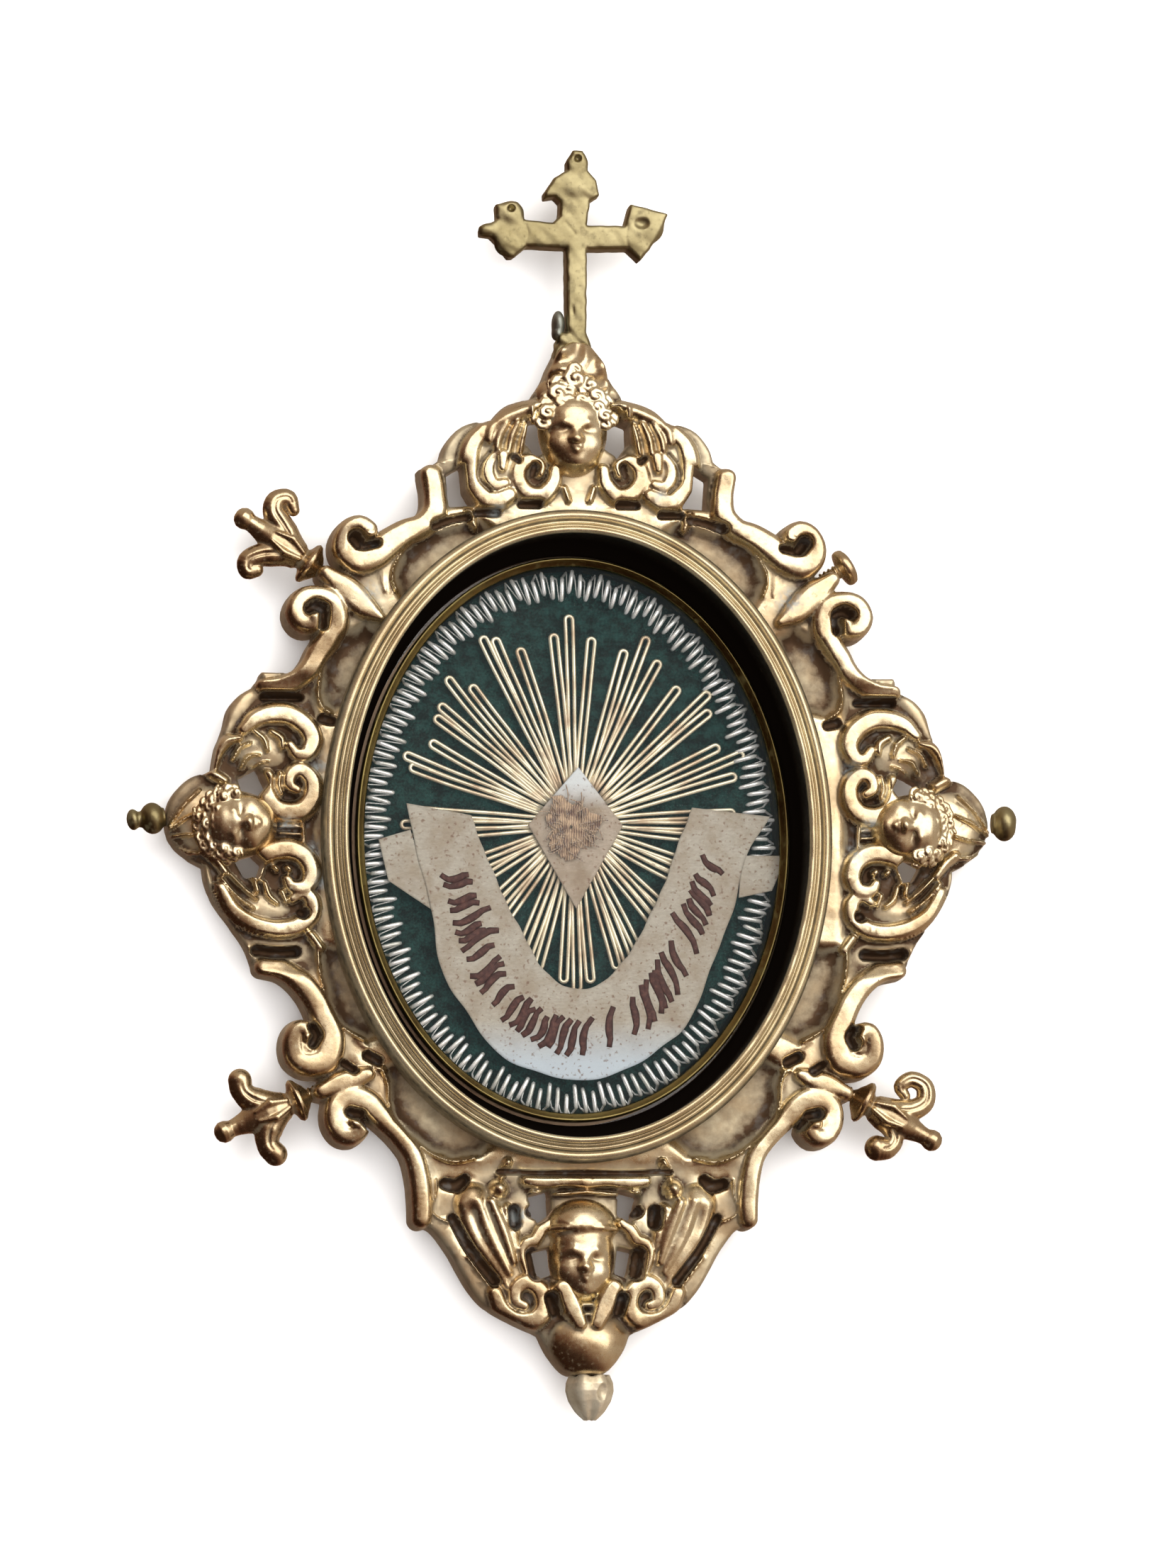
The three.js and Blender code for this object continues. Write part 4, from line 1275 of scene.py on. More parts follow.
# Straps, scrolls and rims of the lower left corner
LOWER_CORNER = (
    Stroke(((-30.0, -12.9), (-28.2, -13.2), (-26.7, -14.2), (-25.5, -15.7), (-24.5, -17.7), (-23.9, -19.7),
           (-24.4, -21.5), (-25.9, -22.0), (-27.1, -21.3), (-27.4, -19.9), (-26.9, -18.8), (-26.1, -18.9),
           (-25.9, -19.4)), (0.8, 0.95, 1.05, 1.1, 1.2, 1.35, 1.35, 1.2, 1.1, 1.0, 0.95, 0.9, 0.8),
           (6.9, 7.0, 7.3, 7.9), FLAT, deep=True),
    Stroke(((-26.8, -20.5), (-26.0, -21.3), (-25.0, -21.0)), 0.14, 8.0, RIDGE),
    Stroke(((-25.0, -11.1), (-24.8, -13.5), (-24.3, -15.3), (-23.7, -17.0), (-22.8, -18.4), (-21.5, -19.3),
           (-20.7, -19.7)), 0.4, 7.9, RIDGE),
    Stroke(((-21.5, -19.6), (-20.3, -20.4)), 0.6, 7.4),
    Stroke(((-15.4, -36.3), (-15.4, -34.6), (-15.6, -32.6), (-16.2, -30.4), (-17.4, -28.7), (-18.8, -27.2),
           (-20.3, -25.7), (-21.8, -25.1), (-23.2, -25.7), (-23.5, -27.2), (-22.9, -28.4), (-21.9, -28.7),
           (-21.1, -28.0), (-21.5, -27.5)),
           (0.9, 0.95, 0.95, 0.9, 0.9, 1.0, 1.2, 1.25, 1.1, 1.0, 0.95, 0.95, 0.9, 0.8),
           (6.8, 6.9, 7.1, 7.9), FLAT, deep=True),
    Stroke(((-22.7, -27.2), (-22.4, -27.9), (-21.9, -28.2)), 0.13, 8.0, RIDGE),
    Stroke(((-19.8, -22.5), (-19.6, -24.9)), (0.9, 1.1), 7.3, FLAT),
    Stroke(((-19.4, -22.3), (-18.9, -22.6)), 0.65, 7.6),
    Stroke(((-19.0, -22.4), (-18.5, -23.8), (-18.4, -25.5), (-17.7, -27.2), (-16.4, -28.6), (-14.6, -30.2),
           (-12.4, -31.0), (-10.4, -30.7)), 0.38, 7.9, RIDGE),
    Stroke(((-24.7, -24.5), (-22.9, -23.7), (-21.5, -23.3), (-20.4, -22.9)), (0.8, 1.0, 0.9, 0.6), 7.0,
           FLAT, deep=True),
    Stroke(((-24.1, -24.1), (-22.1, -23.2), (-20.7, -22.7)), 0.22, 7.4, RIDGE),
    Stroke(((-24.0, -24.8), (-22.1, -24.1), (-20.7, -23.5)), 0.2, 7.3, RIDGE),
    Stroke(((-26.0, -20.1), (-25.5, -19.6)), 1.2, 7.2, FLAT, deep=True),
    Stroke(((-22.3, -27.3), (-21.7, -26.9)), 1.2, 7.2, FLAT, deep=True),
)

# Top group: wing, feathers and scrolls beside the upper head
TOP_WING = (
    Stroke(((0.0, 42.4), (0.0, 44.2)), (3.0, 2.2), 6.6, FLAT, deep=True),
    Stroke(((-9.0, 37.8), (-10.1, 36.4), (-10.5, 34.7), (-10.3, 32.9), (-9.4, 31.6), (-8.1, 31.0),
           (-6.7, 31.6)), (0.8, 1.0, 1.1, 1.15, 1.2, 1.15, 0.9), 8.3, FLAT),
    Stroke(((-7.7, 35.7), (-8.5, 34.7), (-8.7, 33.6), (-8.1, 32.5), (-7.1, 32.7)),
           (0.5, 0.65, 0.75, 0.75, 0.6), 8.2, FLAT),
    Stroke(((-7.3, 35.3), (-7.4, 34.1)), (0.7, 0.5), 8.6, FLAT),
    Stroke(((-4.2, 40.0), (-5.7, 39.4), (-7.3, 38.7), (-8.3, 37.9), (-8.6, 36.8)),
           (1.0, 1.25, 1.2, 1.1, 0.9), (8.9, 8.5)),
    Stroke(((-4.6, 39.9), (-4.6, 39.0)), 0.6, 9.1),
    Stroke(((-4.0, 40.2), (-3.0, 40.1)), 0.5, 8.8),
    Stroke(((-7.0, 38.3), (-7.7, 37.1), (-7.9, 36.0)), (0.75, 0.85, 0.7), (8.7, 8.5)),
    Stroke(((-5.9, 38.4), (-6.5, 37.1), (-6.8, 35.6)), (0.7, 0.8, 0.65), (8.8, 8.5)),
    Stroke(((-5.0, 38.3), (-5.4, 37.0), (-5.7, 35.6)), (0.6, 0.65, 0.5), (8.6, 8.2)),
    Stroke(((-2.3, 34.1), (-2.5, 32.8), (-3.6, 31.6), (-5.0, 31.9), (-5.8, 33.1), (-5.6, 34.4),
           (-4.6, 35.0), (-3.7, 34.5), (-3.8, 33.7)), (0.65, 0.85, 1.0, 0.95, 0.9, 0.85, 0.75, 0.6, 0.5),
           (8.1, 8.3), FLAT),
    Stroke(((-6.1, 34.7), (-6.5, 33.3), (-6.3, 32.1)), (0.6, 0.6, 0.5), 8.1),
    Stroke(((-10.3, 29.4), (-9.9, 28.5)), (0.7, 0.4), 7.8),
    Stroke(((-10.5, 29.9), (-10.3, 29.7)), 0.65, 8.0),
    Stroke(((-1.4, 32.4), (-1.0, 31.2)), 0.5, 7.6),
)

# Side group above the head
SIDE_UPPER = (
    Stroke(((-31.4, 12.6), (-32.6, 10.6), (-33.6, 8.6)), (1.3, 1.2, 0.9), 6.9),
    Stroke(((-31.8, 9.2), (-30.7, 10.2), (-29.2, 10.7), (-27.5, 10.6), (-26.0, 9.6), (-25.4, 8.3),
           (-25.9, 7.1), (-26.8, 6.9), (-27.5, 7.8)), (0.6, 0.9, 1.05, 1.1, 1.1, 1.05, 0.9, 0.7, 0.5), 8.3,
           FLAT),
    Stroke(((-31.4, 10.4), (-29.6, 11.6), (-27.8, 11.7), (-26.0, 10.8), (-24.9, 9.3), (-24.9, 7.5)), 0.2,
           7.9, RIDGE),
    Stroke(((-29.2, 9.0), (-28.3, 8.4), (-28.2, 7.5)), (0.5, 0.6, 0.4), 8.2),
    Stroke(((-30.7, 9.0), (-29.9, 8.3), (-29.6, 7.3)), (0.4, 0.45, 0.3), 8.0),
    Stroke(((-32.8, 6.4), (-32.2, 7.5), (-31.1, 8.0)), (0.35, 0.45, 0.35), 8.0, RIDGE),
    Stroke(((-32.0, 5.7), (-31.4, 6.7), (-30.3, 6.9)), (0.35, 0.4, 0.3), 7.9, RIDGE),
    Stroke(((-31.1, 5.3), (-30.4, 6.0), (-29.5, 6.3)), (0.35, 0.4, 0.3), 7.8, RIDGE),
    Stroke(((-34.7, 5.9), (-34.3, 7.1), (-33.4, 8.1), (-32.2, 8.4)), (0.8, 0.9, 0.8, 0.5), 8.2),
    Stroke(((-34.7, 5.1), (-33.6, 4.4)), (0.8, 0.7), 8.2),
    Stroke(((-29.6, 4.9), (-29.8, 3.6), (-29.1, 2.1), (-27.8, 1.5), (-26.3, 1.8), (-25.4, 3.1),
           (-25.5, 4.6), (-26.5, 5.5), (-27.4, 5.1), (-27.6, 4.1), (-26.9, 3.6)),
           (0.7, 0.95, 1.05, 1.1, 1.1, 1.05, 0.95, 0.85, 0.75, 0.65, 0.5), 8.3, FLAT),
    Stroke(((-28.4, 5.2), (-28.6, 4.1), (-28.3, 3.2)), (0.4, 0.5, 0.35), 8.2),
)

# Side group below the head
SIDE_LOWER = (
    Stroke(((-30.7, -4.4), (-30.3, -2.9), (-29.0, -2.1), (-27.3, -2.0), (-26.0, -2.8), (-25.5, -4.2),
           (-26.1, -5.4), (-27.3, -5.5), (-27.8, -4.8)), (0.7, 0.95, 1.1, 1.1, 1.05, 1.0, 0.85, 0.7, 0.5),
           8.3, FLAT),
    Stroke(((-29.0, -3.7), (-28.8, -3.9)), 0.42, 8.3),
    Stroke(((-27.8, -3.7), (-27.6, -3.9)), 0.42, 8.3),
    Stroke(((-30.8, -5.0), (-30.6, -5.9)), 0.4, 8.0),
    Stroke(((-29.9, -5.1), (-29.5, -6.3), (-28.7, -7.0)), (0.4, 0.45, 0.3), 8.0),
    Stroke(((-28.3, -5.9), (-27.9, -6.9)), (0.4, 0.3), 8.0),
    Stroke(((-33.2, -4.3), (-32.0, -5.5), (-30.7, -6.6)), 0.42, 8.1, RIDGE),
    Stroke(((-34.0, -4.7), (-32.6, -6.3), (-31.0, -7.5)), 0.42, 8.2, RIDGE),
    Stroke(((-34.5, -5.2), (-33.1, -7.1), (-31.2, -8.3)), 0.3, 8.1, RIDGE),
    Stroke(((-38.8, 0.1), (-37.4, 2.1), (-35.9, 3.6)), 0.3, 7.9, RIDGE),
    Stroke(((-39.0, -0.3), (-37.2, 0.9), (-35.5, 1.7)), 0.3, 8.1, RIDGE),
    Stroke(((-38.9, -0.8), (-37.0, -0.7), (-35.4, -0.3)), 0.3, 8.1, RIDGE),
    Stroke(((-38.7, -1.2), (-37.1, -2.3), (-35.6, -2.3)), 0.3, 8.0, RIDGE),
    Stroke(((-38.3, -1.8), (-37.1, -3.5), (-36.1, -4.2)), 0.3, 7.8, RIDGE),
    Stroke(((-28.4, 0.8), (-26.5, 0.9)), 0.2, 7.5),
    Stroke(((-28.4, 0.2), (-26.5, 0.2)), 0.2, 7.5),
    Stroke(((-28.4, -0.4), (-26.5, -0.5)), 0.2, 7.5),
    Stroke(((-28.4, -1.0), (-26.5, -1.1)), 0.2, 7.5),
    Stroke(((-26.3, 1.1), (-26.2, -1.4)), 0.28, 7.8),
    Stroke(((-34.0, -5.6), (-32.8, -7.7), (-31.0, -8.9), (-28.8, -9.4), (-26.9, -9.1), (-25.6, -8.0),
           (-25.5, -6.7), (-26.3, -6.0), (-27.3, -6.6)), (0.6, 0.8, 0.85, 0.9, 0.95, 0.95, 0.85, 0.7, 0.5),
           8.2, FLAT),
    Stroke(((-34.7, -5.9), (-33.4, -8.2), (-31.4, -9.7), (-29.0, -10.2), (-26.8, -9.9)), 0.2, 7.9, RIDGE),
    Stroke(((-35.7, -4.1), (-34.9, -7.1), (-33.2, -9.8), (-31.8, -11.5)), 0.9, 6.9, FLAT),
    Stroke(((-35.5, -2.1), (-34.5, -2.9), (-33.6, -4.1)), (0.7, 0.6), 8.0),
    Stroke(((-25.6, -9.9), (-24.7, -11.1)), 0.65, 7.8),
)

# Bottom group: rims, long feathers, lock of hair, volute and collar
BOTTOM = (
    Stroke(((-14.0, -32.6), (-14.0, -33.9), (-14.4, -35.3), (-14.0, -36.1), (-12.7, -36.7)), 0.28, 7.5,
           RIDGE),
    Stroke(((-14.6, -36.7), (-12.3, -39.8), (-10.3, -42.5), (-8.1, -44.5), (-5.7, -46.1)), 1.05, 6.9, FLAT),
    Stroke(((-11.1, -39.9), (-8.9, -42.8), (-7.7, -44.2)), 0.3, 7.5, RIDGE),
    Stroke(((-7.3, -31.0), (-7.9, -32.2)), 0.55, 8.6),
    Stroke(((-9.2, -35.3), (-8.1, -38.3), (-7.1, -41.3)), (2.1, 1.9, 1.2), 7.6, FLAT),
    Stroke(((-11.5, -35.0), (-10.5, -37.8), (-8.7, -40.6), (-7.3, -42.8)), (1.0, 1.2, 1.1, 0.7), (7.9, 7.8),
           blend=0.3),
    Stroke(((-10.2, -34.7), (-9.0, -37.9), (-7.3, -41.3)), (0.95, 1.15, 0.7), (8.3, 8.0), blend=0.3),
    Stroke(((-8.9, -34.8), (-7.7, -37.8), (-6.9, -40.3)), (0.9, 1.0, 0.7), (8.5, 8.1), blend=0.3),
    Stroke(((-7.5, -35.4), (-6.9, -37.3), (-6.5, -39.1)), (0.8, 0.8, 0.5), (8.2, 7.9), blend=0.3),
    Stroke(((-3.5, -36.7), (-4.2, -37.3), (-4.8, -38.3), (-5.6, -38.6), (-5.9, -39.6), (-5.6, -40.6),
           (-5.2, -41.5)), 0.7, 8.0, FLAT),
    Stroke(((-8.6, -43.2), (-7.9, -44.8), (-6.5, -45.8), (-4.8, -45.6), (-4.0, -44.4), (-4.4, -42.9),
           (-5.6, -42.2), (-6.6, -42.8), (-6.7, -44.0), (-5.9, -44.4)),
           (0.8, 0.95, 1.1, 1.1, 1.05, 1.0, 0.95, 0.85, 0.75, 0.6), 8.2, FLAT),
    Stroke(((-2.4, -42.8), (-1.6, -44.4), (-0.8, -46.1)), (1.1, 1.15, 0.8), 9.2, FLAT),
    Stroke(((-5.6, -32.8), (-3.9, -33.0), (-2.0, -32.8), (0.1, -32.9)), (0.6, 0.72, 0.66, 0.74), (8.5, 8.7),
           FLAT),
    Stroke(((-5.1, -33.8), (-2.7, -34.0), (0.1, -33.8)), 0.3, 8.2),
    Stroke(((-4.6, -34.4), (-4.3, -35.1)), 0.7, 8.4),
)

LEFT_FORMS = UPPER_CORNER + LOWER_CORNER + TOP_WING + SIDE_UPPER + SIDE_LOWER + BOTTOM

# Hollows and grooves of the left half, with the height of their floors
LEFT_HOLLOWS = (
    Stroke(((-21.3, 27.3), (-20.9, 26.8)), 0.3, 6.3),
    Stroke(((-20.5, 26.6), (-19.3, 26.8)), (0.16, 0.1), 6.6),
    Stroke(((-25.6, 20.6), (-25.0, 20.9), (-24.3, 20.6)), (0.16, 0.22, 0.18), 6.4),
    Stroke(((-24.2, 20.2), (-24.3, 19.0)), (0.14, 0.1), 6.6),
    Stroke(((-24.4, 10.4), (-23.5, 10.2)), 0.3, 6.0),
    Stroke(((-25.5, -18.6), (-25.1, -19.3), (-25.5, -20.1)), (0.14, 0.18, 0.14), 6.5),
    Stroke(((-22.0, -26.5), (-21.1, -26.7)), 0.2, 6.5),
    Stroke(((-20.8, -27.1), (-20.3, -27.7)), (0.14, 0.1), 6.6),
    Stroke(((-22.5, -21.9), (-21.7, -22.4)), 0.2, 6.2),
    Stroke(((-20.3, -21.1), (-19.3, -21.6)), 0.25, 5.8),
    Stroke(((-8.1, -31.9), (-4.7, -32.0), (0.1, -32.0)), 0.16, 6.6),
    Stroke(((-13.6, 28.6), (-12.1, 29.2), (-10.6, 29.5)), 0.22, 6.2),
    Stroke(((-8.5, 35.7), (-9.4, 34.5), (-9.5, 33.1), (-8.5, 32.0)), 0.1, 7.5),
    Stroke(((-6.2, 35.2), (-5.8, 34.9)), 0.14, 7.0),
    Stroke(((-4.2, 34.3), (-4.4, 33.6)), 0.24, 6.8),
    Stroke(((-5.5, 30.8), (-3.8, 30.8)), 0.16, 6.2),
    Stroke(((-9.7, 29.9), (-7.8, 29.9)), 0.16, 6.2),
    Stroke(((-26.5, -7.8), (-26.3, -7.9)), 0.25, 6.0),
    Stroke(((-29.8, 12.4), (-28.2, 12.4), (-26.4, 12.4)), 0.11, 5.0),
    Stroke(((-30.5, -11.3), (-28.7, -11.5), (-26.9, -11.4)), 0.22, 4.6),
    Stroke(((-13.1, -33.0), (-12.1, -33.2), (-11.3, -32.6)), (0.3, 0.4, 0.25), 5.4),
    Stroke(((-12.5, -36.2), (-10.9, -39.1), (-8.6, -42.1)), 0.22, 5.9),
    Stroke(((-6.6, -35.5), (-6.5, -36.7)), 0.25, 5.2),
    Stroke(((-5.0, -35.6), (-4.2, -35.8)), 0.25, 5.2),
    Stroke(((-5.0, -39.6), (-4.7, -41.3)), 0.28, 5.2),
    Stroke(((-3.4, -43.7), (-3.0, -45.0)), 0.25, 6.2),
)

# Domes: middle, half axes and height of the top
LEFT_DOMES = (
    ((-10.5, -34.6), (2.1, 2.0), 8.1),
    ((-8.2, -33.6), (1.2, 1.2), 9.1),
    ((-34.5, 0.6), (4.2, 4.0), 7.5),
    ((-7.6, 34.8), (3.9, 4.4), 8.0),
    ((-29.9, 7.7), (3.6, 3.0), 7.3),
    ((-29.9, -7.4), (3.4, 2.2), 7.2),
)

# Pale residue: middle and reach of each spot
RESIDUE = (
    ((-19.8, 22.2), 1.1), ((19.8, 21.9), 1.3), ((-6.1, -36.0), 1.0), ((-4.2, -35.4), 0.8),
    ((7.6, 31.5), 0.7), ((-7.7, 30.1), 0.7), ((-24.5, 5.8), 0.9), ((-25.4, -1.9), 0.8),
    ((-24.5, -4.9), 0.9), ((-27.7, 0.3), 0.9), ((-11.7, 32.0), 0.9), ((25.6, 5.8), 0.9),
    ((26.0, -1.9), 0.9), ((27.4, 0.5), 0.9),
)


@dataclass(frozen=True)
class FrameCasting:
    """The openwork casting round the oval opening: outline, straps, scrolls and wings in relief.

    Attributes:
        back: Height of its flat back.
        opening: Half axes of the oval opening.
        shelf: Height of its level between the panels.
        sunk: How much lower that is under the upper and lower wings, and under the side ones.
        panel: Height of the floors of the panels.
        edge: Rounding of its front edges.
        pitch: Distance between points of its height map.
        triangles: How many triangles it is thinned to.
    """

    back: float = PLATE_BACK
    opening: tuple[float, float] = (22.5, 29.5)
    shelf: float = 7.3
    sunk: tuple[float, float] = (0.3, 0.75)
    panel: float = 6.2
    edge: float = 0.45
    pitch: float = 0.14
    triangles: int = 190_000

    def plan(self, relief: Relief) -> None:
        """Cuts the outline and the pierced openings.

        Args:
            relief: The height map.
        """
        left = np.vstack([smooth_line(np.array(run), 0.6)[:-1] for run in LEFT_OUTLINE] + [[(0.0, -50.8)]])
        whole = np.vstack([left, (left * (-1, 1))[::-1]])
        relief.plan = polygon_distance(whole, relief.x, relief.y)
        for stroke in LEFT_FORMS:
            if stroke.deep:
                relief.press(stroke)
                relief.press(stroke, mirrored=True)
        for opening in relief.both_sides(LEFT_HOLES):
            relief.plan = smooth_max(relief.plan, -opening, 0.3)

    def level(self, relief: Relief) -> None:
        """Raises the level between the panels, a little lower under the wings.

        Args:
            relief: The height map.
        """
        away = np.minimum.reduce(list(relief.both_sides(LEFT_PANELS)))
        wing = self.sunk[0] * ((np.abs(relief.x) < 14.3) & (np.abs(relief.y) > 31.2))
        wing += self.sunk[1] * ((np.abs(relief.y - 0.4) < 13.6) & (np.abs(relief.x) > 25.0))
        rise = self.shelf - self.panel - blurred(wing, 0.5 / relief.pitch)
        share = np.clip((away + 1.3) / 1.8, 0, 1)
        relief.top += self.panel - GROUND + rise * share * share * (3 - 2 * share)

    def model(self) -> Relief:
        """Models the whole casting.

        Returns:
            Its height map.
        """
        relief = Relief((-41.0, -52.5), (41.0, 47.5), grid_pitch(self.pitch))
        self.plan(relief)
        self.level(relief)
        for middle, radii, crest in LEFT_DOMES:
            relief.dome(middle, radii, crest)
            relief.dome((-middle[0], middle[1]), radii, crest)
        relief.dome((0.25, -48.0), (4.3, 3.6), 9.0)
        relief.dome((-0.2, 41.8), (4.0, 3.4), 7.5)
        for mirrored in (False, True):
            for stroke in LEFT_FORMS:
                relief.press(stroke, mirrored)
        for y, crest in ((-45.2, 8.6), (-44.3, 8.5), (-43.4, 8.6)):
            relief.press(Stroke(((-0.9, y), (1.2, y)), 0.4, crest))
        for mirrored in (False, True):
            for stroke in LEFT_HOLLOWS:
                relief.carve(stroke, mirrored)
        shape = relief.top.shape
        relief.top += 0.035 * soft_noise(shape, 2.2 / relief.pitch, SEED)
        lumps = np.clip(relief.y - 41.0, 0, 1) * soft_noise(shape, 0.5 / relief.pitch, SEED + 2)
        relief.top += 0.3 * lumps
        relief.top += 0.014 * soft_noise(shape, 0.45 / relief.pitch, SEED + 1)
        a, b = self.opening
        away = np.hypot(relief.x / a, relief.y / b)
        relief.plan = smooth_max(relief.plan, (1 - away) * min(a, b), 0.2)
        return relief

    def dress(self, piece: Piece, relief: Relief) -> None:
        """Paints the depth of the hollows, darkened by grime and painted shade, and the residue on the
        casting.

        Args:
            piece: The casting.
            relief: Its height map.
        """
        # Depth of the recesses and of the low ground, which the finish darkens: partly grime, partly painted
        # shade.
        hollow = 0.55 * relief.recesses(1.1) + 0.75 * relief.recesses(0.45)
        places = places_of(piece)
        cell = (places[:, :2] - relief.low) / relief.pitch
        cell = tuple(np.clip(cell, 0, np.array(relief.x.shape) - 1).astype(int).T)
        top = relief.top[cell]
        depth = hollow[cell] + 0.42 * np.clip((7.2 - top) / 0.7, 0, 1)
        # Darker towards the bottom.
        depth += 0.14 * np.clip((-32.0 - places[:, 1]) / 3, 0, 1)
        wall = np.clip((top - places[:, 2] - 0.2) / 0.8, 0, 1)
        depth += (0.4 - depth) * wall
        paint(piece, "hollow", depth)
        spots = np.zeros(len(places))
        for (x, y), reach in RESIDUE:
            spots = np.maximum(spots, 1.3 - np.hypot(places[:, 0] - x, places[:, 1] - y) / reach)
        paint(piece, "residue", np.clip(spots, 0, 1))

    def build(self, bronze: Finish) -> None:
        """Builds the casting.

        Args:
            bronze: Its finish.
        """
        relief = self.model()
        piece = make_mesh("frame_casting", relief.cast(self.back, self.edge), bronze)
        thin(piece, self.triangles)
        self.dress(piece, relief)
        place(piece, "gilt_bronze", "frame")


class Hair(Enum):
    """How a head's hair is dressed."""

    WREATH = "wreath"
    SHELL = "shell"
    CAP = "cap"


@dataclass(frozen=True)
class CherubHead:
    """One cherub's head: a calm child's face with curls round its brow.

    Attributes:
        name: Name of the piece.
        at: Middle of the face.
        turn: Where its crown points, in degrees from the cross.
        size: Its size across, along and in height, over that of a head 5 wide and 6.8 high.
        hair: How its hair is dressed.
        seed: What the waver of its curls starts from.
        pitch: Distance between points of its grid.
        height: Height of its middle.
    """

    name: str
    at: tuple[float, float]
    turn: float
    size: Spot
    hair: Hair
    seed: int
    pitch: float = 0.09
    height: float = 7.25

    def face(self, clay: Clay) -> None:
        """Models skull, cheeks, brows, eyes, nose, lips and chin.

        Args:
            clay: The head.
        """
        clay.add(clay.egg((0, 0.5, -0.6), (2.4, 2.9, 2.5)), 0.1)
        clay.add(clay.egg((0, -1.2, -0.3), (1.9, 2.0, 2.15)), 0.5)
        clay.add(clay.egg((0, 1.6, 0.75), (1.75, 1.25, 1.25)), 0.5)
        for side in (-1, 1):
            clay.add(clay.egg((1.05 * side, -0.85, 1.2), (0.85, 0.85, 0.75)), 0.45)
            clay.cut(clay.egg((0.92 * side, 0.28, 2.2), (0.62, 0.36, 0.5)), 0.22)
            clay.add(clay.egg((0.92 * side, 0.24, 1.55), (0.45, 0.3, 0.36)), 0.08)
            lid = [(0.42 * side, 0.22, 1.72), (0.9 * side, 0.54, 1.88), (1.42 * side, 0.22, 1.45)]
            clay.add(clay.strand(lid, (0.07, 0.1, 0.06)), 0.08)
            under = [(0.45 * side, 0.16, 1.70), (0.92 * side, -0.06, 1.78), (1.4 * side, 0.16, 1.44)]
            clay.add(clay.strand(under, 0.06), 0.1)
            brow = [(0.28 * side, 0.62, 2.05), (0.85 * side, 0.86, 2.05), (1.55 * side, 0.62, 1.45)]
            clay.add(clay.strand(brow, (0.12, 0.16, 0.08)), 0.3)
            clay.add(clay.egg((0.26 * side, -0.62, 2.24), (0.2, 0.17, 0.2)), 0.12)
        clay.add(clay.strand([(0, 0.62, 2.0), (0, -0.1, 2.35), (0, -0.52, 2.5)], (0.2, 0.22, 0.3)), 0.22)
        upper_lip = [(-0.62, -1.2, 1.95), (-0.2, -1.1, 2.26), (0.2, -1.1, 2.26), (0.62, -1.2, 1.95)]
        clay.add(clay.strand(upper_lip, (0.1, 0.17, 0.17, 0.1)), 0.1)
        lower_lip = [(-0.5, -1.28, 1.97), (0, -1.42, 2.2), (0.5, -1.28, 1.97)]
        clay.add(clay.strand(lower_lip, (0.1, 0.19, 0.1)), 0.1)
        mouth = [(-0.6, -1.22, 2.1), (0, -1.25, 2.42), (0.6, -1.22, 2.1)]
        clay.cut(clay.strand(mouth, 0.06), 0.06)
        clay.add(clay.egg((0, -2.1, 1.45), (0.65, 0.5, 0.55)), 0.4)

    def curl(self, clay: Clay, middle: Spot, reach: float, spin: float, thick: float) -> None:
        """Adds one rolled curl.

        Args:
            clay: The head.
            middle: Middle of the curl.
            reach: How far it reaches out from its middle.
            spin: Direction of its open end, in degrees.
            thick: Radius of its strand.
        """
        turns = np.radians(spin + np.linspace(0, 400, 9))
        out = np.linspace(reach, 0.2 * reach, 9)
        x, y, z = middle
        coil = [(x + r * math.cos(t), y + r * math.sin(t), z + 0.3 * (1 - r / reach))
                for r, t in zip(out, turns)]
        clay.add(clay.strand(coil, (thick * 0.8, thick, thick * 0.75)), 0.05)

    def wreath(self, clay: Clay, draw: np.random.Generator, rows: tuple[tuple[float, ...], ...]) -> None:
        """Lays rows of curls over the brow, from ear to ear.

        Args:
            clay: The head.
            draw: What the waver of the curls is drawn from.
            rows: Radius, rise, height, first angle, size and number of curls of each row.
        """
        for radius, rise, height, first, size, count in rows:
            for angle in np.linspace(first, 180 - first, int(count)):
                turn = math.radians(angle + draw.uniform(-4, 4))
                middle = (radius * math.cos(turn), 0.8 + rise * math.sin(turn),
                          height + draw.uniform(-0.15, 0.2))
                self.curl(clay, middle, size * draw.uniform(0.8, 1.05), draw.uniform(0, 360), 0.46 * size)

    def locks(self, clay: Clay, draw: np.random.Generator) -> None:
        """Combs wavy locks from the parting down both sides.

        Args:
            clay: The head.
            draw: What their waver is drawn from.
        """
        for side in (-1, 1):
            for row in range(6):
                turn = math.radians(12 + 28 * row)
                points = []
                for step in range(6):
                    lean = math.radians(8 + 17 * step)
                    wave = 0.08 * math.sin(2.2 * step + draw.uniform(-0.4, 0.4))
                    x = side * (0.35 + 2.45 * math.sin(lean) * math.cos(turn) + wave)
                    y = 2.6 + 1.9 * math.sin(lean) * math.sin(turn) * 0.9 - 0.1 * step
                    points.append((x, y, 2.4 * math.cos(lean) - 0.25))
                clay.add(clay.strand(points, (0.14, 0.22, 0.2, 0.12)), 0.1)

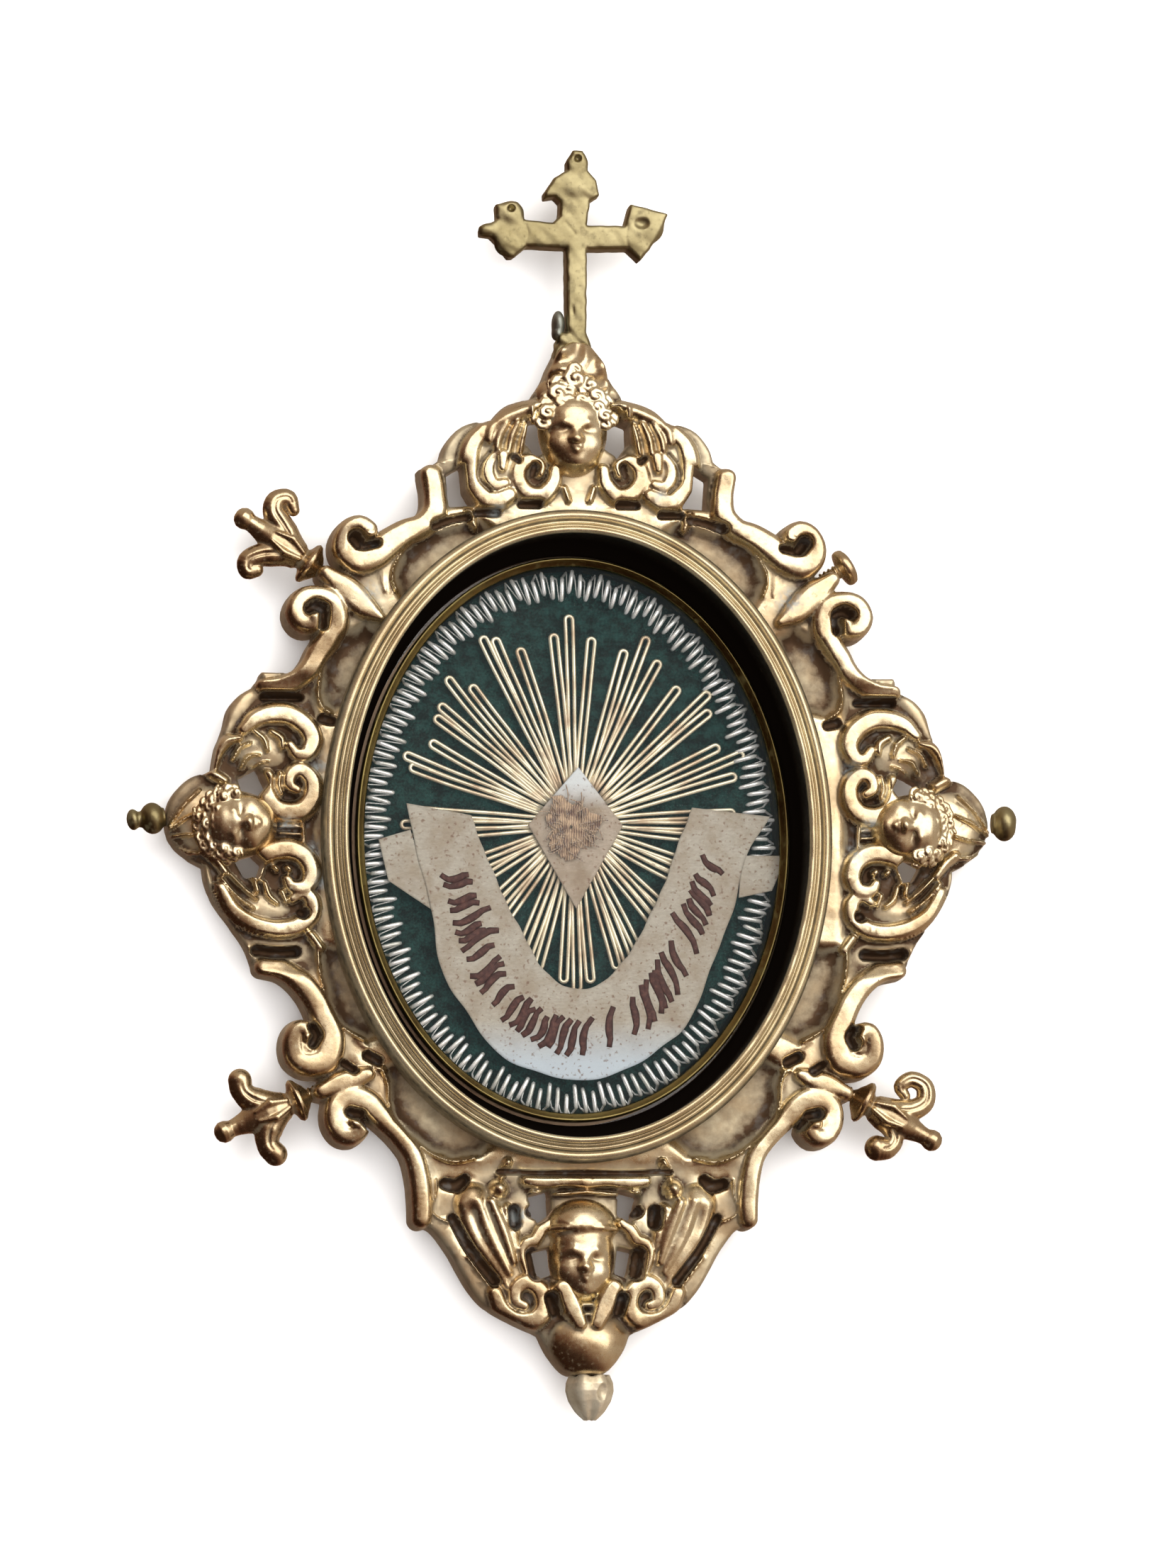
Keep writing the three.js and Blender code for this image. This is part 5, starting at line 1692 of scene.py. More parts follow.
    def build(self, bronze: Finish) -> None:
        """Builds the head.

        Args:
            bronze: Its finish.
        """
        clay = Clay((-4.3, -3.6, -3.6), (4.3, 7.2, 3.5), grid_pitch(self.pitch))
        draw = np.random.default_rng(self.seed)
        self.face(clay)
        if self.hair is Hair.CAP:
            clay.add(clay.egg((0, 2.9, -0.35), (2.75, 2.2, 2.6)), 0.15)
            self.locks(clay, draw)
        elif self.hair is Hair.WREATH:
            clay.add(clay.egg((0, 3.0, -1.0), (2.8, 2.4, 1.7)), 0.2)
            self.wreath(clay, draw, ((2.35, 1.95, 1.35, 2, 0.6, 10), (2.7, 2.8, 1.1, 14, 0.72, 8),
                                     (2.3, 3.7, 0.9, 30, 0.74, 5), (1.5, 4.5, 0.7, 45, 0.7, 3),
                                     (0.9, 5.1, 0.5, 60, 0.6, 2)))
        else:
            clay.add(clay.egg((0, 1.8, -0.9), (2.5, 2.9, 2.1)), 0.3)
            self.wreath(clay, draw, ((2.3, 1.6, 1.35, -8, 0.5, 12), (2.55, 2.4, 0.95, -2, 0.52, 13),
                                     (2.7, 3.2, 0.45, 8, 0.52, 12)))
        piece = set_down(clay, self.name, bronze, self.turn, (*self.at, self.height), self.size)
        # Depth of the head's hollows, which the finish darkens: grime and painted shade.
        depth = clay.hollows(self.size[1])
        paint(piece, "hollow", depth)
        paint(piece, "residue", np.zeros(len(depth)))
        place(piece, "gilt_bronze", "frame")


HEADS = (
    CherubHead("head_top", (-0.5, 37.4), 0, (1.26, 1.16, 1.0), Hair.WREATH, 11),
    CherubHead("head_left", (-32.1, 0.35), 90, (1.22, 1.02, 1.0), Hair.SHELL, 12),
    CherubHead("head_right", (30.9, 0.5), -90, (1.22, 1.02, 1.0), Hair.SHELL, 13),
    CherubHead("head_bottom", (-0.35, -40.3), 0, (1.2, 1.16, 1.05), Hair.CAP, 14),
)


@dataclass(frozen=True)
class Bezel:
    """The oval moulding round the opening, with its seat for the capsule.

    Attributes:
        a: Half axis of its inner edge along X.
        b: Half axis along Y.
        seat: Offsets of the seat's inner edge along X and Y.
        beads: Outward offset, radius and height of each bead of the moulding, from outside to inside.
        levels: Heights of its foot and of the seat.
        steps: Steps round the oval.
    """

    a: float = 21.7
    b: float = 28.3
    seat: tuple[float, float] = (-0.9, -1.4)
    beads: tuple[Spot, ...] = (
        (1.75, 0.4, 9.85), (1.08, 0.19, 9.75), (0.74, 0.12, 9.9), (0.32, 0.29, 10.58),
    )
    levels: tuple[float, float] = (3.2, 5.0)
    steps: int = 360

    def build(self, bronze: Finish) -> None:
        """Builds the moulding, with painted shade on its inner wall and in its grooves.

        Args:
            bronze: Its finish.
        """
        foot, seat_top = self.levels
        rows = [(2.3, foot), (2.3, self.beads[0][2] - 0.5)]
        for middle, radius, top in self.beads:
            for angle in np.radians((10, 40, 65, 90, 115, 140, 170)):
                rows.append((middle + radius * math.cos(angle), top - radius * 1.2 * (1 - math.sin(angle))))
            rows.append((middle - 1.22 * radius, top - radius * 1.5))
        rows[-1] = (0.0, 9.8)
        rows.append((0.0, seat_top))
        rows = [(dx, z, dx) for dx, z in rows]
        rows += [(self.seat[0], seat_top, self.seat[1]), (self.seat[0], foot, self.seat[1])]
        rows = np.array(rows)
        points, faces = oval_rings(self.a, self.b, rows, self.steps)
        turn = np.repeat(np.linspace(0, 2 * math.pi, self.steps, endpoint=False), len(rows))
        draw = np.random.default_rng(SEED + 5)
        wobble = sum(draw.uniform(-1, 1) * np.sin(k * turn + draw.uniform(0, 6.3)) for k in range(9, 40)) / 5
        fine = points[:, 2] > 8.9
        points[:, 2] += np.where(fine, 0.02 * wobble - 0.02, 0)
        heights = np.tile(rows[:, 1], self.steps)
        beads = np.clip(np.sin(58 * turn), 0, 1) * np.clip(np.cos(turn - 0.2), 0, 1)
        points[:, 2] -= np.where(heights > 10.4, 0.07 * beads, 0)
        piece = make_mesh("bezel", (points, faces), bronze)
        # Painted shade: the grooves and the inner wall down to the seat get deep values, painted near black;
        # the outer wall gets only a little.
        inward = self.beads[::-1]
        tops = np.interp(rows[:, 0], [bead[0] for bead in inward], [bead[2] for bead in inward])
        outside = (rows[:, 0] > 2.0) & (rows[:, 1] < 9.3)
        hollow = np.tile(np.where(outside, 0.12, 1.3 * (tops - rows[:, 1])), self.steps)
        paint(piece, "hollow", hollow)
        place(piece, "gilt_bronze", "frame")


@dataclass(frozen=True)
class Capsule:
    """The oval tray, burnished over its glass, and the glass.

    Attributes:
        a: Half axis of the tray along X.
        b: Half axis along Y.
        floor: Height of its floor.
        pane: Half axes of the glass.
        under: Height of the glass's underside.
        top: Height of its middle.
        steps: Steps round the oval.
    """

    a: float = 20.5
    b: float = 26.6
    floor: float = 0.8
    pane: tuple[float, float] = (19.7, 25.8)
    under: float = 4.87
    top: float = 5.4
    steps: int = 192

    def build_tray(self, brass: Finish) -> None:
        """Builds the tray with its floor and its rolled lip.

        Args:
            brass: Its finish.
        """
        profile = ((0.0, 0.0), (0.0, 5.75), (-0.06, 5.92), (-0.18, 6.0), (-0.32, 5.92), (-0.42, 5.72),
                   (-0.7, 5.62), (-0.82, 5.5), (-0.5, 5.46), (-0.5, self.floor))
        rings = [oval(self.a + out, self.b + out, z, self.steps) for out, z in profile]
        piece = make_mesh("capsule_tray", stacked(np.array(rings), (0, 0, 0), (0, 0, self.floor)), brass)
        place(piece, "olive_brass", "capsule")

    def build_glass(self, glass: Finish) -> None:
        """Builds the pane, faintly domed.

        Args:
            glass: Its finish.
        """
        a, b = self.pane
        profile = ((1.0, self.under), (1.0, 5.3), (0.985, 5.38), (0.8, 5.39), (0.5, self.top),
                   (0.25, self.top))
        rings = [oval(share * a, share * b, z, self.steps) for share, z in profile]
        skin = stacked(np.array(rings), (0, 0, self.under), (0, 0, self.top))
        place(make_mesh("glass", skin, glass), "glass", "glass_pane")


@dataclass(frozen=True)
class VelvetPad:
    """The padded velvet ground of the capsule.

    Attributes:
        a: Half axis of the pad along X.
        b: Half axis along Y.
        bottom: Height of its underside.
        top: Height of its softly uneven top.
        steps: Steps round the oval.
        rings: Rings from the rim to the middle.
    """

    a: float = 19.65
    b: float = 25.75
    bottom: float = 1.12
    top: float = 1.95
    steps: int = 160
    rings: int = 44

    def build(self, velvet: Finish) -> None:
        """Builds the pad.

        Args:
            velvet: Its finish.
        """
        rings = [oval(self.a, self.b, self.bottom, self.steps)]
        for share in np.sqrt(np.linspace(0, 1, self.rings + 1)[:0:-1]):
            ring = oval(share * self.a, share * self.b, self.top, self.steps)
            x, y = ring[:, 0], ring[:, 1]
            ring[:, 2] += 0.03 * np.sin(1.9 * x + 0.7 * y) * np.cos(1.3 * y - 0.5 * x)
            ring[:, 2] -= 0.25 * np.clip((share - 0.96) / 0.04, 0, 1) ** 2
            rings.append(ring)
        skin = stacked(np.array(rings), (0, 0, self.bottom), (0, 0, self.top))
        place(make_mesh("velvet_ground", skin, velvet), "velvet", "velvet_pad")


@dataclass(frozen=True)
class CoilBorder:
    """Crimped silver wire laid round the edge in loops, staggered three by three.

    Attributes:
        middle: Half axes of the oval along the middle of the border.
        reach: Half the length of a loop.
        spacing: Distance between loops.
        radius: Radius of the wire.
        low: Height of the loops' underside.
        rise: Height of a loop, between the middles of its wires.
        seed: What the waver of the loops starts from.
    """

    middle: tuple[float, float] = (18.3, 24.35)
    reach: float = 1.08
    spacing: float = 0.86
    radius: float = 0.22
    low: float = 1.75
    rise: float = 0.95
    seed: int = 31

    def build(self, silver: Finish) -> None:
        """Builds the border as one endless wire.

        Args:
            silver: Its finish.
        """
        a, b = self.middle
        fine = np.linspace(0, 2 * math.pi, 2001)
        steps = np.hypot(np.diff(a * np.cos(fine)), np.diff(b * np.sin(fine)))
        length = np.concatenate([[0], np.cumsum(steps)])
        loops = int(length[-1] / self.spacing / 3) * 3
        share = np.arange(loops * 20) / 20
        draw = np.random.default_rng(self.seed)
        shifts = np.tile((-0.36, 0.0, 0.36), loops // 3) + draw.normal(0, 0.07, loops)
        reaches = self.reach + draw.normal(0, 0.09, loops)
        leans = draw.normal(0, 0.05, loops)
        lifts = draw.normal(0, 0.05, loops)
        loop = share.astype(int)
        part = (share - loop) * 2 * math.pi
        onward = loop + 0.5 + 0.5 * np.clip((share - loop - 0.5) * 2, 0, 1) + 0.1 * (share - loop)
        turn = np.interp(onward / loops * length[-1], length, fine)
        across = shifts[loop] + reaches[loop] * np.cos(part)
        height = np.sin(part)
        height = np.sign(height) * np.abs(height) ** 0.5
        normal = np.column_stack([np.cos(turn) / a, np.sin(turn) / b])
        normal /= np.linalg.norm(normal, axis=1)[:, None]
        along = np.column_stack([-normal[:, 1], normal[:, 0]])
        spots = np.column_stack([a * np.cos(turn), b * np.sin(turn)]) + OVAL_MIDDLE
        spots += normal * np.clip(across, -1.4, 1.35)[:, None]
        spots += along * (leans[loop] * np.cos(part))[:, None]
        z = self.low + self.radius + self.rise * (1 + height) / 2 + lifts[loop] * np.clip(height, 0, 1)
        wide = self.radius * (0.65 + 0.35 * height)
        skin = tube(np.column_stack([spots, z]), wide, 6, closed=True)
        place(make_mesh("silver_border", skin, silver), "silver_wire", "coil_border")


@dataclass(frozen=True)
class RayWires:
    """Gold wires bent to narrow hairpins, that fan out round the relic three by three.

    Attributes:
        hub: Where they run together.
        start: Distance of their inner ends from the hub.
        rays: Direction in degrees and length of each.
        gap: Distance between the legs of a hairpin.
        radius: Radius of the wire.
        height: Height of the wire's middle.
        seed: What the sway of the wires starts from.
    """

    hub: tuple[float, float] = (0.0, 1.2)
    start: float = 2.3
    rays: tuple[tuple[float, float], ...] = (
        (96, 18.0), (91.4, 19.7), (84.4, 17.7), (116, 19.6), (112.9, 19.0), (106.6, 17.3), (131.7, 18.2),
        (126.4, 16.2), (139, 16.9), (142.2, 16.5), (150.9, 15.6), (161.1, 16.4), (158.2, 17.3), (73.3, 17.2),
        (68, 19.1), (62.7, 17.5), (52.3, 16.4), (44.1, 18.0), (38.9, 16.9), (28.7, 15.7), (22.5, 17.5),
        (16.6, 16.1), (5, 15.3), (0, 15.9), (-6, 14.8), (181, 16.4), (186, 15.6), (175, 15.4), (200, 14.6),
        (205, 15.8), (211, 14.4), (223, 14.2), (228, 15.3), (234, 14.0), (246, 14.4), (250.5, 15.4),
        (256, 14.2), (264.8, 15.0), (270, 15.8), (275.7, 15.0), (286, 14.2), (291, 15.3), (296, 14.2),
        (308, 14.0), (313, 15.4), (318, 14.3), (331, 14.4), (336, 15.6), (341, 14.6),
    )
    gap: float = 0.36
    radius: float = 0.19
    height: float = 2.66
    seed: int = 77

    def hairpin(self, degrees: float, length: float, draw: np.random.Generator) -> Skin:
        """Bends one hairpin.

        Args:
            degrees: Its direction.
            length: How far its bend is from the hub.
            draw: What its sway is drawn from.

        Returns:
            Vertices and faces.
        """
        along = np.linspace(self.start + draw.uniform(0, 1.2), length - self.gap, 14)
        bend = np.radians(np.linspace(-90, 90, 7)[1:-1])
        legs = [(s, -self.gap) for s in along]
        legs += [(length - self.gap + self.gap * math.cos(t), self.gap * math.sin(t)) for t in bend]
        legs += [(s, self.gap) for s in along[::-1]]
        line = np.array(legs)
        line[:, 1] *= 0.6 + 0.4 * line[:, 0] / length
        sway = draw.uniform(-0.25, 0.25) * np.sin(line[:, 0] * draw.uniform(0.15, 0.35) + draw.uniform(0, 6))
        line[:, 1] += sway * (line[:, 0] / length)
        turn = math.radians(degrees)
        x = self.hub[0] + line[:, 0] * math.cos(turn) - line[:, 1] * math.sin(turn)
        y = self.hub[1] + line[:, 0] * math.sin(turn) + line[:, 1] * math.cos(turn)
        z = self.height + 0.12 * np.sin(line[:, 0] * 0.5 + draw.uniform(0, 6)) ** 2
        return tube(np.column_stack([x, y, z]), self.radius, 6)

    def build(self, gold: Finish) -> None:
        """Builds the star of wires.

        Args:
            gold: Its finish.
        """
        draw = np.random.default_rng(self.seed)
        skin = gathered([self.hairpin(degrees, length, draw) for degrees, length in self.rays])
        place(make_mesh("gold_rays", skin, gold), "gold_wire", "ray_wires")


def leaf(top: Array, thickness: float) -> Skin:
    """Makes a closed sheet from a grid of points.

    Args:
        top: Its front, as rows and columns of places.
        thickness: How thick it is.

    Returns:
        Vertices and faces of four corners.
    """
    rows, columns = top.shape[:2]
    under = top - (0, 0, thickness)
    points = np.vstack([top.reshape(-1, 3), under.reshape(-1, 3)])
    index = np.arange(rows * columns).reshape(rows, columns)
    a, b, c, d = (s.ravel() for s in (index[:-1, :-1], index[1:, :-1], index[1:, 1:], index[:-1, 1:]))
    front = np.column_stack([a, b, c, d])
    back = front[:, ::-1] + rows * columns
    rim = np.concatenate([index[0, :], index[1:, -1], index[-1, -2::-1], index[-2:0:-1, 0]])
    after = np.roll(rim, -1)
    side = np.column_stack([rim, after, after + rows * columns, rim + rows * columns])
    return points, np.vstack([front, back, side])


def patch(corners: Path, count: int) -> tuple[Array, Array, Array]:
    """Spans four corners by a grid.

    Args:
        corners: The corners, in order round the patch.
        count: Points along each side.

    Returns:
        Places on the grid, and the shares of the way from the first corner to the second and to the fourth.
    """
    u, v = np.meshgrid(np.linspace(0, 1, count), np.linspace(0, 1, count), indexing="ij")
    a, b, c, d = (np.array(corner) for corner in corners)
    flat = ((1 - u) * (1 - v))[..., None] * a + (u * (1 - v))[..., None] * b
    return flat + (u * v)[..., None] * c + ((1 - u) * v)[..., None] * d, u, v


@dataclass(frozen=True)
class Relic:
    """The parchment lozenge on the rays, and the frayed brown cloth laid on it.

    Attributes:
        corners: Corners of the lozenge.
        height: Mean height of its front.
        cloth_height: Height that the cloth stays under.
        seed: What the fraying starts from.
    """

    corners: tuple[tuple[float, float], ...] = ((0.3, 6.5), (-4.5, 1.0), (0.0, -6.9), (4.5, 1.0))
    height: float = 3.43
    cloth_height: float = 4.1
    seed: int = 5

    def build_lozenge(self, paper: Finish) -> None:
        """Builds the lozenge, with its slight buckle.

        Args:
            paper: Its finish.
        """
        flat, _, _ = patch(self.corners, 41)
        z = self.height + 0.05 * np.sin(2.1 * flat[..., 0] + 1) * np.cos(1.1 * flat[..., 1])
        piece = make_mesh("parchment_lozenge", leaf(np.dstack([flat, z]), 0.16), paper)
        place(piece, "parchment", "relic_lozenge")

    def build_cloth(self, cloth: Finish) -> None:
        """Builds the cloth: a crumpled patch and its loose threads.

        Args:
            cloth: Its finish.
        """
        draw = np.random.default_rng(self.seed)
        rings, steps = 14, 72
        turn = np.linspace(0, 2 * math.pi, steps, endpoint=False)
        ragged = 1 + 0.16 * np.sin(3 * turn + 1.2) + 0.1 * np.sin(7 * turn) + draw.normal(0, 0.05, steps)
        share = np.linspace(0.06, 1, rings)[:, None]
        x = -0.5 + share * ragged * 2.45 * np.cos(turn)
        y = 0.75 + share * ragged * 2.75 * np.sin(turn)
        z = self.cloth_height - 0.22 + 0.16 * np.sin(2.6 * x + 0.8 * y) * np.cos(2.2 * y - 1.3 * x)
        z = z - 0.12 * share + draw.normal(0, 0.012, z.shape)
        front = np.stack([x, y, z], -1)
        under = front[::-1] - (0, 0, 0.14)
        points = np.vstack([front.reshape(-1, 3), under.reshape(-1, 3)])
        parts = [(points, strip_faces(2 * rings, steps, closed=True))]
        for _ in range(70):
            t = draw.uniform(0, 2 * math.pi)
            r = draw.uniform(0.3, 1.0)
            start = np.array([-0.5 + r * 2.3 * math.cos(t), 0.75 + r * 2.6 * math.sin(t)])
            lean = t + draw.normal(0, 0.9)
            run = draw.uniform(0.5, 1.6)
            s = np.linspace(0, run, 7)
            bend = draw.normal(0, 0.25)
            x = start[0] + s * math.cos(lean) - bend * s * s * math.sin(lean)
            y = start[1] + s * math.sin(lean) + bend * s * s * math.cos(lean)
            z = self.cloth_height - 0.12 + 0.08 * np.sin(3 * s + t)
            parts.append(tube(np.column_stack([x, y, z]), 0.055, 4))
        place(make_mesh("frayed_cloth", gathered(parts), cloth), "relic_cloth", "relic_cloth")


@dataclass(frozen=True)
class Banner:
    """The curved parchment label with folded tails, and its rows of brown marks.

    Attributes:
        outer: Its outer edge, from the left end to the right.
        inner: Its inner edge, from the left end to the right.
        tails: Corners of the two folded tails.
        height: Height of its front.
        marks: How many marks stand along it.
        seed: What their waver starts from.
    """

    outer: Path = ((-16.1, 2.9), (-15.2, -1.3), (-13.9, -6.7), (-12.9, -12.5), (-10.7, -16.5), (-7.7, -20.4),
                   (-3.7, -22.4), (0.5, -23.1), (5.2, -21.7), (8.3, -19.7), (10.6, -17.3), (12.9, -12.0),
                   (15.0, -6.3), (16.1, -2.1), (18.4, 1.9))
    inner: Path = ((-10.0, 1.8), (-8.0, -3.4), (-6.2, -7.3), (-4.4, -10.8), (-2.9, -13.0), (-1.0, -14.4),
                   (1.3, -14.3), (3.0, -13.3), (4.6, -11.6), (6.1, -9.0), (7.6, -6.2), (9.2, -2.1),
                   (11.0, 2.7))
    tails: tuple[Path, ...] = (
        ((-15.7, 0.4), (-18.7, -0.5), (-17.8, -4.4), (-13.3, -7.4)),
        ((15.7, -1.8), (20.1, -1.8), (18.6, -5.1), (15.4, -5.8)),
    )
    height: float = 3.97
    marks: int = 19
    seed: int = 21

    def at(self, share: Array, across: Array) -> Array:
        """Finds places on it.

        Args:
            share: Shares of the way along it.
            across: Shares of the half width, from -1 on its outer edge to 1 on its inner.

        Returns:
            The places.
        """
        edges = []
        for edge in (self.outer, self.inner):
            line = smooth_line(np.array(edge), 0.3)
            way = np.concatenate([[0], np.cumsum(np.hypot(*np.diff(line, axis=0).T))])
            edges.append([np.interp(share * way[-1], way, line[:, i]) for i in range(2)])
        part = (1 + across) / 2
        return np.stack([(1 - part) * edges[0][i] + part * edges[1][i] for i in range(2)], axis=-1)

    def lift(self, share: Array, across: Array) -> Array:
        """Returns the heights of its front, at shares of the way and of the half width."""
        wave = 0.05 * np.sin(17 * share + 1.1 * across) - 0.05
        return self.height + wave - 0.05 * np.abs(across) ** 3

    def build(self, paper: Finish, ink: Finish) -> None:
        """Builds the banner with its tails and marks.

        Args:
            paper: Its finish.
            ink: Finish of the marks.
        """
        share, across = np.meshgrid(np.linspace(0, 1, 181), np.linspace(-1, 1, 31), indexing="ij")
        uneven = 1 + 0.015 * np.sin(41 * share + 2 * across) + 0.01 * np.sin(97 * share)
        grid = self.at(share, across * uneven)
        parts = [leaf(np.dstack([grid, self.lift(share, across)]), 0.14)]
        for tail in self.tails:
            flat, u, v = patch(tail, 21)
            z = self.height - 0.23 + 0.06 * np.sin(4 * u + 2 * v)
            parts.append(leaf(np.dstack([flat, z]), 0.12))
        count = sum(len(faces) for _, faces in parts)
        piece = make_mesh("parchment_banner", gathered(parts + self.script()), paper, ink, second_from=count)
        place(piece, "parchment", "label_banner")

    def script(self) -> list[Skin]:
        """Writes the marks: bars, bows and hooks in a row, which spell nothing.

        Returns:
            Vertices and faces of each.
        """
        draw = np.random.default_rng(self.seed)
        parts = []
        row = np.linspace(0, 1, 11)
        for mark in range(self.marks):
            middle = 0.1 + 0.82 * (mark + 0.5) / self.marks + draw.uniform(-0.003, 0.003)
            bars = int(draw.integers(1, 4))
            tall = draw.random() < 0.25
            for bar in range(bars):
                foot, head = draw.uniform(-0.5, -0.38), draw.uniform(0.22, 0.36) + 0.3 * tall * (bar == 0)
                bow = draw.uniform(-0.008, 0.008) * np.sin(math.pi * row)
                hook = 0.006 * np.clip(row - 0.8, 0, 1) / 0.2 - 0.005 * np.clip(0.2 - row, 0, 1) / 0.2
                share = middle + (bar - (bars - 1) / 2) * 0.0155 + bow + hook + 0.004 * row
                across = foot + (head - foot) * row
                places = np.column_stack([self.at(share, across), self.lift(share, across) + 0.01])
                wide = 0.26 + 0.12 * np.sin(math.pi * row + draw.uniform(-0.5, 0.5)) ** 2
                parts.append(tube(places, wide, 6, flat=0.3))
        return parts


@dataclass(frozen=True)
class Cross:
    """The olive brass cross: a bevelled slab with worn trefoil ends, each bent its own way.

    Attributes:
        outline: Its outline, from the left of the foot round the left arm, the head and the right arm.
        back: Height of its back.
        front: Height of its front.
        bevel: Rounding of its edges.
        pitch: Distance between points of its grid.
        seed: What its unevenness starts from.
        triangles: How many triangles it is thinned to.
    """

    outline: Path = (
        (-2.4, 44.1), (-2.0, 46.3), (-1.5, 47.4), (-1.0, 47.4), (-1.0, 55.3), (-4.7, 55.4), (-5.9, 54.4),
        (-6.4, 54.4), (-7.5, 55.8), (-8.1, 56.4), (-9.1, 56.5), (-9.1, 57.2), (-8.1, 57.6), (-7.5, 58.0),
        (-7.6, 59.4), (-5.6, 59.6), (-4.9, 58.0), (-2.2, 57.8), (-1.6, 58.4), (-1.5, 59.7), (-2.0, 60.2),
        (-3.0, 60.0), (-3.0, 60.6), (-2.0, 62.1), (-0.8, 62.8), (-0.8, 63.7), (-0.2, 64.7), (0.7, 64.7),
        (1.2, 63.7), (1.2, 62.8), (2.0, 61.9), (2.3, 60.4), (1.4, 59.8), (1.1, 57.6), (4.6, 57.6),
        (5.2, 59.7), (8.9, 58.8), (8.5, 58.0), (7.1, 55.4), (6.1, 54.2), (4.9, 55.3), (4.5, 55.3),
        (1.1, 55.2), (1.0, 47.4), (1.6, 45.6), (2.0, 44.1),
    )
    back: float = 4.4
    front: float = 7.2
    bevel: float = 0.3
    pitch: float = 0.11
    seed: int = 3
    triangles: int = 70_000

    def build(self, brass: Finish, solder: Finish) -> None:
        """Builds the cross with its dents, seam and solder.

        Args:
            brass: Its finish.
            solder: Finish of the solder.
        """
        clay = Clay((-10.0, 43.2, 3.6), (10.0, 65.4, 8.0), grid_pitch(self.pitch))
        clay.body = clay.slab(np.array(self.outline), self.back, self.front, self.bevel)
        for middle, radii in (((-6.2, 58.6, 6.6), (1.25, 1.1, 0.75)), ((-6.6, 55.6, 6.6), (1.1, 1.1, 0.7)),
                              ((-8.4, 56.9, 6.6), (0.8, 0.55, 0.6)), ((7.1, 57.4, 6.5), (1.3, 1.3, 0.7)),
                              ((0.1, 61.1, 6.6), (1.5, 1.2, 0.75)), ((0.3, 63.7, 6.5), (0.8, 0.8, 0.7))):
            clay.add(clay.egg(middle, radii), 0.25)
        for middle, radii in (((-6.2, 59.0, 7.6), (0.32, 0.32, 0.8)), ((6.2, 57.8, 7.9), (1.0, 0.75, 0.95)),
                              ((0.2, 63.9, 7.5), (0.35, 0.35, 0.6)), ((-0.4, 49.4, 7.45), (0.16, 0.6, 0.4)),
                              ((-2.0, 46.8, 6.4), (0.5, 0.5, 0.9)), ((1.4, 46.4, 7.3), (0.35, 0.5, 0.5)),
                              ((-0.8, 45.6, 7.4), (0.45, 0.3, 0.4)), ((0.5, 44.9, 7.4), (0.6, 0.25, 0.4))):
            clay.cut(clay.egg(middle, radii), 0.12)
        for seam, radius, blend in (
                (((-1.0, 57.7, 7.28), (0.0, 56.5, 7.25), (1.1, 57.6, 7.28)), 0.09, 0.08),
                (((-4.9, 55.6, 7.3), (-4.6, 56.6, 7.28), (-4.9, 57.7, 7.3)), 0.12, 0.1),
                (((4.9, 55.5, 7.3), (4.7, 56.6, 7.28), (4.9, 57.6, 7.3)), 0.12, 0.1)):
            clay.cut(clay.strand(seam, radius), blend)
        draw = np.random.default_rng(self.seed)
        x, y, z = clay.at[..., 0], clay.at[..., 1], clay.at[..., 2]
        rough = sum(np.sin(x * draw.uniform(1, 5) + y * draw.uniform(1, 5) + z * draw.uniform(1, 4)
                           + draw.uniform(0, 6)) for _ in range(10)) / 10
        foot = np.clip((48.5 - y) / 3, 0, 1)
        clay.body += rough * (0.05 + 0.22 * foot)
        drops = Clay((-3.2, 45.6, 3.8), (-0.2, 50.6, 8.0), self.pitch)
        drops.add(drops.egg((-1.65, 48.2, 6.0), (0.6, 1.25, 1.1)), 0.1)
        drops.add(drops.egg((-1.75, 47.2, 6.1), (0.5, 0.6, 0.9)), 0.2)
        skin = clay.skin()
        whole = gathered([skin, drops.skin()])
        piece = make_mesh("cross_on_top", whole, brass, solder, second_from=len(skin[1]))
        thin(piece, self.triangles)
        place(piece, "olive_brass", "cross")


